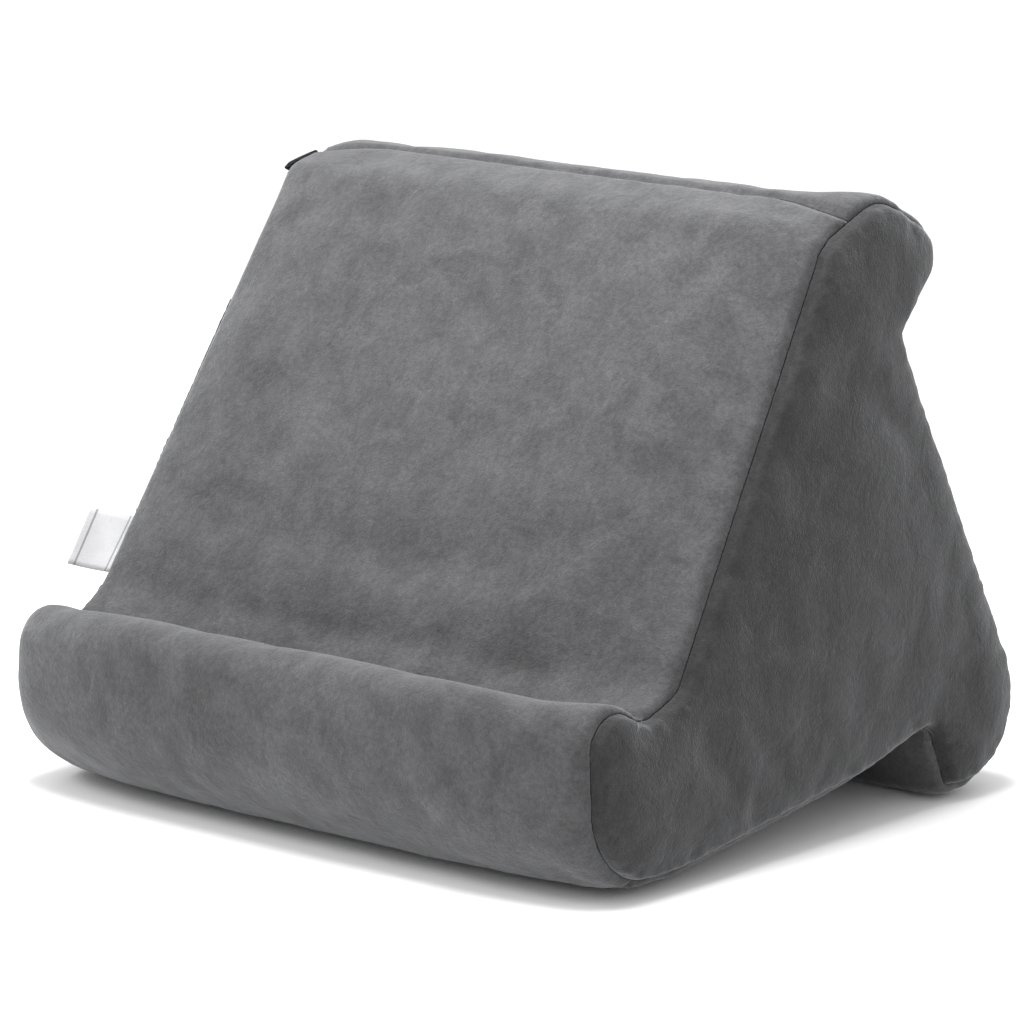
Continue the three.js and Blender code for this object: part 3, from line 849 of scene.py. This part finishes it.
def make_core(foam, liner):
    """The foam block and the liner bag, drawn in from the cover's own shape."""
    block = build_hull(COARSE, (0.0,), FOAM_INSET)
    core = shade_smooth(new_object("foam_block", block.points, block.faces))
    belongs(core, foam, "foam", "foam_core")
    bag = build_hull(COARSE, (0.0,), LINER_INSET)
    normals = vertex_normals(bag.points, bag.faces)
    wrinkles = LINER_WRINKLE * noise_at(bag.points, LINER_WRINKLE_PITCH, LINER_SEED)
    points = bag.points + normals * wrinkles[:, None]
    wrap = cloth_piece("liner_wrap_cloth", bag, points, normals, list(bands), LINER_THICK)
    belongs(wrap, liner, "liner", "liner_wrap")
    rim = rim_line(SIZE_POINTS, RIGHT, LINER_INSET)
    for side in ("left", "right"):
        end = cloth_piece(f"liner_{side}_cloth", bag, points, normals, [f"side_panel_{side}"], LINER_THICK)
        belongs(end, liner, "liner", f"liner_side_{side}")
    return core


def make_cover(material, side_nap_and_shade_material):
    hull = build_hull(FINE, GRADED)
    points = cover_points(hull)
    normals = vertex_normals(points, hull.faces)
    made = {}
    for name in GUSSET_PANELS + [side[0] for side in SIDES]:
        cover_name = name.replace("_panel", "") + "_cover"
        panel = cloth_piece(cover_name, hull, points, normals, [name], CLOTH_THICK, ALLOWANCE)
        is_side = name.startswith("side")
        # Side panels take the darker copy of the plush: partly the pile's nap, partly painted shade.
        slot = "plush_side" if is_side else "plush"
        belongs(panel, side_nap_and_shade_material if is_side else material, slot, name)
        declare_panel(name)
        made[name] = panel
    bpy.context.view_layer.update()
    return made


# ---- strips, threads and tubes ----


def grid_faces(rows, columns):
    starts = [i * columns + j for i in range(rows - 1) for j in range(columns - 1)]
    return [(a, a + 1, a + columns + 1, a + columns) for a in starts]


def tube(path, radius, sides):
    """Vertices and faces of a round thread along a path, closed at both ends."""
    path = np.asarray(path)
    along = np.gradient(path, axis=0)
    along /= np.linalg.norm(along, axis=1, keepdims=True)
    side = np.cross(along[0], RING_START)
    turns = np.linspace(0, 2 * math.pi, sides, endpoint=False)
    rings = []
    for point, ahead in zip(path, along):
        side = side - ahead * (side @ ahead)
        side /= np.linalg.norm(side)
        up = np.cross(ahead, side)
        rings.append(point + radius * (np.cos(turns)[:, None] * side + np.sin(turns)[:, None] * up))
    vertices = np.concatenate(rings)
    faces = []
    for i in range(len(path) - 1):
        for j in range(sides):
            a, b = i * sides + j, i * sides + (j + 1) % sides
            faces.append((a, b, b + sides, a + sides))
    last = len(vertices) - sides
    faces.append(tuple(range(sides))[::-1])
    faces.append(tuple(range(last, last + sides)))
    return vertices, faces


def joined(name, parts):
    """One object from several (vertices, faces) pairs."""
    vertices, faces, start = [], [], 0
    for part_vertices, part_faces in parts:
        vertices.append(part_vertices)
        faces += [tuple(k + start for k in face) for face in part_faces]
        start += len(part_vertices)
    return shade_smooth(new_object(name, np.concatenate(vertices), faces))


def stitch(start, end, out):
    """One stitch: a short thread that rises out of the cloth and goes back in."""
    parts, lift = np.array(STITCH_PROFILE).T[:, :, None]
    return tube(start + (end - start) * parts + out * lift, THREAD / 2, THREAD_SIDES)


def stitches(name, line, surface, outward):
    """Stitches over a surface, from point to point along a line held just above it."""
    parts, found = [], []
    for point in line:
        hit, place, _, _ = surface.ray_cast(Vector(point + outward * STITCH_SEARCH), Vector(-outward))
        if hit:
            found.append(np.array(place))
    for start, end in zip(found, found[1:]):
        gap = (end - start) * STITCH_GAP / 2
        parts.append(stitch(start + gap, end - gap, outward))
    return joined(name, parts)


# ---- the zip ----

zip_start, zip_end = bands[ZIP_BAND]
ZIP_ROW = np.array([(zip_start + (zip_end - zip_start) % PERIMETER / 2) % PERIMETER])
zip_piece, zip_part = located(ZIP_ROW)
ZIP_UP = np.array([0.0, *mid_section.out[zip_piece[0] // 2]])
ZIP_OUT = np.array([0.0, ZIP_UP[2], -ZIP_UP[1]])
ZIP_HALF_GAP = (zip_end - zip_start) % PERIMETER / 2


def zip_place(x, up=0.0, out=0.0):
    """A point on the cover's own surface line at the zip, moved up the slope and outwards."""
    distance = max(0.0, HALF_WIDTH - abs(x - MIDDLE_X))
    y, z = section_at(distance, RIGHT if x > MIDDLE_X else LEFT).at(zip_piece, zip_part)[0]
    return np.array([x, y, z]) + ZIP_UP * up + ZIP_OUT * out


def tape_piece(name, node, sign, material):
    """One tape from side seam to side seam, its ends dipping under the seams."""
    height = zip_place(MIDDLE_X)[2]
    reaches = [side * (float(seam_reach(height, side)) - TAPE_SHORT) for side in (LEFT, RIGHT)]
    first, last = MIDDLE_X + reaches[0], MIDDLE_X + reaches[1]
    coil_low, coil_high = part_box(node.replace("tape", "coil"))
    xs = np.linspace(first, last, STRIP_POINTS)
    beyond_coil = np.maximum(coil_low.x - xs, xs - coil_high.x)
    edges = TAPE_EDGE + (TAPE_END_EDGE - TAPE_EDGE) * smoothstep(beyond_coil, *TAPE_PARTING)
    shares, bead = np.array(TAPE_PROFILE).T
    to_end = np.minimum(xs - first, last - xs) + TAPE_SHORT
    sunk = SEAM_DEPTH * np.exp(-((to_end / (2 * TAPE_SHORT)) ** 2))
    points = []
    for x, edge, depth in zip(xs, edges, sunk):
        ups = edge + (TAPE_EDGE + TAPE_WIDTH - edge) * shares
        points += [zip_place(x, sign * up, TAPE_OUT - depth + rise) for up, rise in zip(ups, bead)]
    faces = grid_faces(len(xs), len(shares))
    piece = new_object(name, points, faces if sign > 0 else [face[::-1] for face in faces])
    belongs(thicken(piece, TAPE_THICK, -1), material, "tape", node)


def coil_piece(name, node, sign, material):
    """A flattened helix of nylon whose loops reach between the other side's."""
    low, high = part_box(node)
    xs = np.arange(low.x, high.x, COIL_PITCH / COIL_STEPS)
    turn = 2 * math.pi * (xs - low.x) / COIL_PITCH + (math.pi if sign > 0 else 0)
    parting = COIL_PARTED * smoothstep(xs, high.x - COIL_PARTED_REACH, high.x)
    inner, outer = -COIL_OVERLAP, COIL_WIDTH
    middle, swing = (inner + outer) / 2, (outer - inner) / 2 - COIL_WIRE / 2
    ups = sign * (middle - swing * np.cos(turn) + parting)
    outs = COIL_OUT + (COIL_HEIGHT / 2 - COIL_WIRE / 2) * np.sin(turn)
    path = [zip_place(x, up, out) for x, up, out in zip(xs, ups, outs)]
    piece = joined(name, [tube(path, COIL_WIRE / 2, THREAD_SIDES)])
    belongs(piece, material, "coil", node)
    edge = zip_place(MIDDLE_X, sign * COIL_WIDTH, COIL_OUT)
    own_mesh(piece)


def make_zip(tape, coil, metal, thread, cover):
    for side, sign in (("upper", 1), ("lower", -1)):
        tape_piece(f"tape_{side}", f"zip_tape_{side}", sign, tape)
        coil_piece(f"coil_{side}", f"zip_coil_{side}", sign, coil)
    for node in ("zip_slider", "zip_pull", "zip_top_stop_upper", "zip_top_stop_lower", "zip_bottom_stop"):
        polish(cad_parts[node], metal)
    low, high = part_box("zip_tape_upper")
    xs = np.arange(low.x + ROW_END, high.x - ROW_END, STITCH_PITCH)
    for side, sign, panel in (("upper", 1, "back_panel"), ("lower", -1, "foot_panel")):
        line = [zip_place(x, sign * (ZIP_HALF_GAP + HEM_STITCH)) for x in xs]
        row = stitches(f"zip_stitches_{side}", line, cover[panel], ZIP_OUT)
        belongs(row, thread, "plush")


def polish(node, material):
    """A metal part keeps its CAD shape, with its edges eased."""
    bevel = node.modifiers.new("Eased edges", "BEVEL")
    bevel.width = METAL_EASE
    bevel.segments = METAL_SEGMENTS
    bevel.limit_method = "ANGLE"
    bevel.angle_limit = math.radians(METAL_EDGE)
    node.data.materials.clear()
    node.data.materials.append(material)


# ---- the net pocket ----


def on_left_panel(panel, points, lift):
    """3-D points that stand off the left side panel by a lift, from their (y, z) places."""
    made = []
    for (y, z), away in zip(points, np.broadcast_to(lift, len(points))):
        hit, place, _, _ = panel.ray_cast(Vector((PAST_LEFT, y, z)), Vector((1, 0, 0)))
        x = place.x if hit else MIDDLE_X - float(seam_reach(z, LEFT))
        made.append((x - away, y, z))
    return np.array(made)


def mouth_frame():
    """The binding's middle, its direction along the mouth towards the front, and upwards across it."""
    points = node_points("pocket_binding")[:, 1:]
    angles = np.radians(np.arange(0, 180, MOUTH_TURN))
    directions = [np.array([-math.cos(t), math.sin(t)]) for t in angles]
    widths = [np.ptp(points @ np.array([along[1], -along[0]])) for along in directions]
    along = directions[int(np.argmin(widths))]
    along = along if along[0] < 0 else -along
    across = np.array([along[1], -along[0]])
    spans = [(points @ axis).min() + (points @ axis).max() for axis in (along, across)]
    middle = (along * spans[0] + across * spans[1]) / 2
    return middle, along, across, min(widths) / 2


def hexagon(centre, edge):
    """The corners of a hexagon that stands on one of them."""
    angles = np.radians(np.arange(30, 390, 60))
    return centre + edge * np.column_stack([np.cos(angles), np.sin(angles)])


def net_mesh(inside):
    """Flat (y, z) points and faces of a hexagonal net wherever a whole cell is inside."""
    step_y, step_z = NET_CELL * math.sqrt(3), NET_CELL * 1.5
    points, faces, known = [], [], {}
    span_y = np.arange(left_box[0].y, left_box[1].y, step_y)
    span_z = np.arange(left_box[0].z, left_box[1].z, step_z)
    centres = np.array([(y + step_y / 2 * (i % 2), z) for i, z in enumerate(span_z) for y in span_y])
    for centre in centres[inside(centres)]:
        ring = []
        for corner in hexagon(centre, NET_CELL):
            key = tuple(np.round(corner / WELD).astype(int))
            near = [(key[0] + a, key[1] + b) for a in (-1, 0, 1) for b in (-1, 0, 1)]
            match = next((known[k] for k in near if k in known), None)
            if match is None:
                match = known[key] = len(points)
                points.append(corner)
            ring.append(match)
        hole = range(len(points), len(points) + 6)
        points.extend(hexagon(centre, NET_CELL - NET_STRAND / math.sqrt(3)))
        for k in range(6):
            after = (k + 1) % 6
            faces.append((ring[k], hole[k], hole[after], ring[after]))
    return np.array(points), faces


def make_pocket(net, binding, thread, panel):
    middle, along, across, half_band = mouth_frame()
    rim = rim_line(NET_RIM_POINTS, LEFT)

    def in_pocket(points):
        below = (points - middle) @ across < half_band * NET_TOP
        return below & inside_line(points, rim) & (distance_to_line(points, rim)[0] > NET_MARGIN)

    flat, faces = net_mesh(in_pocket)
    loose = smoothstep((middle - flat) @ across, *NET_SLACK_TOP)
    slack = NET_LIFT + NET_SLACK * loose * smoothstep(distance_to_line(flat, rim)[0], 0.0, NET_SLACK_SIDE)
    piece = new_object("pocket_net_cloth", on_left_panel(panel, flat, slack), faces)
    belongs(thicken(piece, NET_THICK, 1), net, "net", "pocket_net")

    def reach_to_rim(up, direction):
        reach = np.arange(*RIM_SEARCH)
        places = middle + across * up * half_band + direction * reach[:, None]
        return reach[np.flatnonzero(~inside_line(places, rim))[0]]

    loop_ups, loop_out = np.array(BINDING_OUTER + BINDING_FOLD + BINDING_INNER).T
    fronts = np.array([reach_to_rim(up, along) for up in loop_ups]) + BINDING_PROUD
    backs = np.array([reach_to_rim(up, -along) for up in loop_ups]) - NET_MARGIN
    flat, lift = [], []
    for share in np.linspace(0, 1, STRIP_POINTS):
        for up, out, front, back in zip(loop_ups, loop_out, fronts, backs):
            u = front * share - back * (1 - share)
            drift = 1 + GATHER_CHANGE * noise.noise(Vector((u / GATHER_DRIFT, 0, 0)))
            gather = GATHER * math.sin(u / GATHER_WAVE) * drift
            flat.append(middle + along * u + across * up * half_band)
            lift.append(mm(out) + gather * (1 if out > GATHER_ABOVE else 0))
    points = on_left_panel(panel, np.array(flat), np.array(lift))
    band = new_object("pocket_binding_tape", points, grid_faces(STRIP_POINTS, len(loop_ups)))
    belongs(thicken(band, BINDING_THICK, 0), binding, "binding", "pocket_binding")
    bpy.context.view_layer.update()
    line = [
        np.array([cad_box[0][0], *(middle + along * u - across * half_band * BINDING_STITCH)])
        for u in np.arange(ROW_END - backs.min(), fronts.min() - ROW_END, STITCH_PITCH)
    ]
    row = stitches("pocket_stitches", line, band, np.array([-1.0, 0.0, 0.0]))
    belongs(row, thread, "binding")


# ---- the label ----


def make_label(white, stripe):
    """A folded label sewn into the left seam: out to its fold and back, curling a little."""
    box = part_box("side_label")
    lowest = np.array([box[0].y, box[0].z])
    highest = np.array([box[1].y, box[1].z])
    ends, _ = arc_length_of(np.array([lowest, highest]))
    rows = np.linspace(ends[1] + LABEL_SHIFT[1], ends[0] + LABEL_SHIFT[0], LABEL_ROWS)
    rim = section_at(0, LEFT).at(*located(rows))
    half = len(LABEL_SHARES)
    reach = np.array(LABEL_SHARES + LABEL_SHARES[::-1])
    layer = np.repeat([0.5, -0.5], half)
    layer[half - 1], layer[half] = LABEL_FOLD, -LABEL_FOLD
    height, outwards, upwards = LABEL_WAVE
    length = LABEL_REACH + LABEL_HEM
    normal = np.array([0.0, *(-left_of((rim[-1] - rim[0]) / np.linalg.norm(rim[-1] - rim[0])))])
    points = []
    for place in rim:
        root = np.array([MIDDLE_X - float(seam_reach(place[1], LEFT)) + LABEL_HEM, *place])
        for share, side in zip(reach, layer):
            curl = LABEL_CURL * share**2 + height * math.sin(outwards * share + upwards * place[1])
            points.append(root + np.array([-length * share, 0, 0]) + normal * (curl + LABEL_GAP * side))
    piece = new_object("label_cloth", points, grid_faces(len(rows), len(reach)))
    belongs(thicken(piece, LABEL_THICK, 0), white, "label", "side_label")
    piece.data.materials.append(stripe)
    for face in piece.data.polygons:
        column = face.index % (2 * half - 1)
        column = min(column, 2 * half - 2 - column)
        face.material_index = 1 if column in LABEL_STRIPES else 0


# ---- materials ----


class Nodes:
    """A material's node tree with short ways to add and join nodes."""

    def __init__(self, name):
        self.material = bpy.data.materials.new(name)
        self.material.use_nodes = True
        self.tree = self.material.node_tree
        self.shader = self.tree.nodes["Principled BSDF"]
        self.place = self.add("ShaderNodeTexCoord").outputs["Object"]

    def put(self, value, socket):
        """Gives an input a number, a colour or another node's output."""
        if isinstance(value, bpy.types.NodeSocket):
            self.tree.links.new(value, socket)
        else:
            socket.default_value = (*value, 1) if isinstance(value, tuple) else value

    def add(self, kind, inputs=(), **values):
        node = self.tree.nodes.new(kind)
        for key, value in values.items():
            setattr(node, key, value)
        for key, value in dict(inputs).items():
            self.put(value, node.inputs[key])
        return node

    def noise(self, scale, detail=3.0, roughness=0.5, distortion=0.0, place=None):
        """A noise texture's value; scale is in features per metre."""
        inputs = {"Scale": scale, "Detail": detail, "Roughness": roughness, "Distortion": distortion}
        inputs["Vector"] = place or self.place
        return self.add("ShaderNodeTexNoise", inputs).outputs["Fac"]

    def stretched(self, scale):
        """The place coordinates, scaled along each axis."""
        node = self.add("ShaderNodeMapping", {"Vector": self.place})
        node.inputs["Scale"].default_value = scale
        return node.outputs["Vector"]

    def wave(self, scale, direction):
        """Bands across one axis, scale of them per metre."""
        inputs = {"Scale": scale / WAVE_BANDS, "Distortion": 0.4, "Detail Scale": 3, "Vector": self.place}
        return self.add("ShaderNodeTexWave", inputs, bands_direction=direction).outputs["Fac"]

    def cells(self, scale):
        """The distance to the nearest of many scattered points."""
        return self.add("ShaderNodeTexVoronoi", {"Scale": scale, "Vector": self.place}).outputs["Distance"]

    def ramp(self, value, low, high):
        """A value turned into a colour, between two (value, colour) stops."""
        node = self.add("ShaderNodeValToRGB", {"Fac": value})
        for element, (position, colour) in zip(node.color_ramp.elements, (low, high)):
            element.position, element.color = position, (*colour, 1)
        return node.outputs["Color"]

    def mottled(self, colour, strength, value, low, high):
        """A colour darkened in places, where a value's ramp from one grey to another is dark."""
        ramp = self.ramp(value, (low[0], grey(low[1])), (high[0], grey(high[1])))
        inputs = {0: strength, 6: colour, 7: ramp}
        return self.add("ShaderNodeMix", inputs, data_type="RGBA", blend_type="MULTIPLY").outputs[2]

    def bump(self, height, distance, strength=1.0, below=None):
        inputs = {"Strength": strength, "Distance": distance, "Height": height}
        if below is not None:
            inputs["Normal"] = below
        return self.add("ShaderNodeBump", inputs).outputs["Normal"]

    def finished(self, **values):
        """The material, with its shader's inputs set: sheen_weight stands for Sheen Weight."""
        for name, value in values.items():
            self.put(value, self.shader.inputs[name.replace("_", " ").title().replace("Ior", "IOR")])
        return self.material


def grey(value):
    return (value, value, value * COOL)


def around(tone, below, above):
    """Two stops for a ramp: darker and lighter greys than a tone, at the low and high values given."""
    return (below[0], grey(tone * below[1])), (above[0], grey(tone * above[1]))


def plush(name, tone, lean):
    """Short-pile plush: tone shifts where the pile leans, crushed strokes and a soft sheen."""
    n = Nodes(name)
    broad = n.noise(14, 3, 0.55, 0.4)
    patches = n.noise(75, 3, 0.55, 0.6)
    strokes = n.noise(480, 3, 0.60, 0.2)
    grain = n.noise(1500, 2, 0.6)
    colour = n.ramp(broad, *around(tone, (0.30, 0.86), (0.72, 1.14)))
    colour = n.mottled(colour, 0.95, patches, (0.32, 0.72), (0.66, 1.06))
    colour = n.mottled(colour, 0.7, strokes, (0.34, 0.70), (0.64, 1.08))
    colour = n.mottled(colour, 0.7, grain, (0.30, 0.62), (0.70, 1.06))
    crushed = n.bump(strokes, 0.0006, lean, n.bump(patches, 0.0016, 0.4))
    return n.finished(
        base_color=colour,
        normal=n.bump(grain, 0.0004, 0.6, crushed),
        roughness=0.92,
        specular_ior_level=0.15,
        sheen_weight=0.40,
        sheen_roughness=0.45,
        sheen_tint=(0.85, 0.86, 0.88),
    )


def foam_material():
    n = Nodes("foam")
    cells = n.noise(900, 2, 0.7)
    colour = n.ramp(n.noise(25, 2, 0.5), (0.3, (0.80, 0.73, 0.50)), (0.7, (0.86, 0.80, 0.58)))
    colour = n.mottled(colour, 0.6, cells, (0.35, 0.6), (0.6, 1.0))
    return n.finished(base_color=colour, normal=n.bump(cells, 0.0006, 0.8), roughness=0.95)


def liner_material():
    n = Nodes("liner")
    fibres = n.noise(700, 4, 0.7, 0.8)
    dots = n.cells(650)
    colour = n.ramp(fibres, (0.3, grey(0.76)), (0.7, grey(0.86)))
    colour = n.mottled(colour, 0.5, dots, (0.1, 0.8), (0.3, 1.0))
    normal = n.bump(dots, 0.0002, 0.6, n.bump(fibres, 0.0001, 0.6))
    return n.finished(base_color=colour, normal=normal, roughness=0.85)


def woven(name, tone, ribs, direction, roughness=0.7, sheen=0.15):
    """A woven tape: ribs one way, finer threads the other, and a slight tone change."""
    n = Nodes(name)
    across = n.wave(ribs, direction)
    fine = n.noise(2600, 2, 0.6)
    colour = n.ramp(n.noise(50, 2, 0.5), *around(tone, (0.3, 0.85), (0.7, 1.1)))
    colour = n.mottled(colour, 0.8, across, (0.1, 0.55), (0.6, 1.0))
    colour = n.mottled(colour, 0.5, fine, (0.3, 0.6), (0.7, 1.0))
    normal = n.bump(across, 0.0002, 0.8, n.bump(fine, 0.0001, 0.6))
    values = {"roughness": roughness, "specular_ior_level": 0.25, "sheen_weight": sheen}
    return n.finished(base_color=colour, normal=normal, **values)


def nylon(name, tone):
    n = Nodes(name)
    colour = n.ramp(n.noise(300, 2, 0.5), *around(tone, (0.3, 0.85), (0.7, 1.15)))
    roughness = n.ramp(n.noise(900, 2, 0.5), (0.3, grey(0.36)), (0.7, grey(0.5)))
    return n.finished(base_color=colour, roughness=roughness, specular_ior_level=0.45)


def zip_metal():
    """Dark nickel plate: brushed, with softly worn patches."""
    n = Nodes("zip_metal")
    brushed = n.noise(2200, 3, 0.6, place=n.stretched((0.12, 1, 1)))
    worn = n.noise(260, 3, 0.6, 0.6)
    colour = n.ramp(worn, (0.3, (0.15, 0.15, 0.16)), (0.7, (0.24, 0.24, 0.25)))
    roughness = n.ramp(brushed, (0.3, grey(0.24)), (0.7, grey(0.42)))
    normal = n.bump(brushed, 0.00004, 0.5)
    return n.finished(base_color=colour, roughness=roughness, normal=normal, metallic=1.0)


# ---- the stage ----


def make_stage():
    far = FLOOR_REACH
    corners = [(-far, -far, 0), (far, -far, 0), (far, far, 0), (-far, far, 0)]
    floor = new_object("floor", corners, [(0, 1, 2, 3)])
    pale = Nodes("pale_floor").finished(base_color=(FLOOR_TONE,) * 3, roughness=0.6)
    floor.data.materials.append(pale)


def aimed(name, data, place, ahead):
    """A lamp or camera at a place, looking ahead."""
    made = bpy.data.objects.new(name, data)
    made.location = place
    made.rotation_euler = ahead.to_track_quat("-Z", "Y").to_euler()
    bpy.context.scene.collection.objects.link(made)
    return made


def area_light(name, place, power):
    data = bpy.data.lights.new(name, "AREA")
    data.shape = "DISK"
    data.size = LIGHT_SIZE
    data.energy = power
    aimed(name, data, place, Vector(LIGHT_AIM) - Vector(place))


def make_lights():
    world = bpy.data.worlds.new("studio")
    world.use_nodes = True
    background = world.node_tree.nodes["Background"]
    background.inputs["Color"].default_value = (1, 1, 1, 1)
    background.inputs["Strength"].default_value = WORLD_STRENGTH
    bpy.context.scene.world = world
    for name, (place, power) in LIGHTS.items():
        area_light(name, place, power)


def make_camera():
    azimuth, elevation = math.radians(AZIMUTH), math.radians(ELEVATION)
    level = math.cos(elevation)
    back = Vector((math.sin(azimuth) * level, -math.cos(azimuth) * level, math.sin(elevation)))
    data = bpy.data.cameras.new("camera")
    data.lens = LENS
    data.sensor_width = SENSOR
    data.clip_start, data.clip_end = CLIP
    bpy.context.scene.camera = aimed("camera", data, Vector(AIM) + back * DISTANCE, -back)


make_camera()
make_stage()
make_lights()
bpy.context.scene.view_settings.view_transform = "Standard"

core = make_core(foam_material(), liner_material())
# The side panels' plush is a darker copy of the same fabric: partly its nap, partly painted shade.
cover = make_cover(plush("plush", PLUSH_TONE, 0.35), plush("plush_side", SIDE_NAP_AND_PAINTED_SHADE_TONE, 0.2))
grey_thread = woven("grey_thread", PLUSH_TONE, 2000, "X")
black_thread = woven("black_thread", 0.02, 2000, "X", 0.8, 0.0)
make_zip(woven("tape", 0.10, 1500, "X"), nylon("coil", 0.07), zip_metal(), grey_thread, cover)
black_net = woven("net", 0.016, 3000, "Z", 0.8, 0.0)
make_pocket(black_net, woven("binding", 0.012, 900, "Z", 0.85, 0.0), black_thread, cover["side_panel_left"])
make_label(woven("label", 0.62, 2400, "X", 0.5), woven("label_stripe", 0.30, 2400, "X", 0.5))
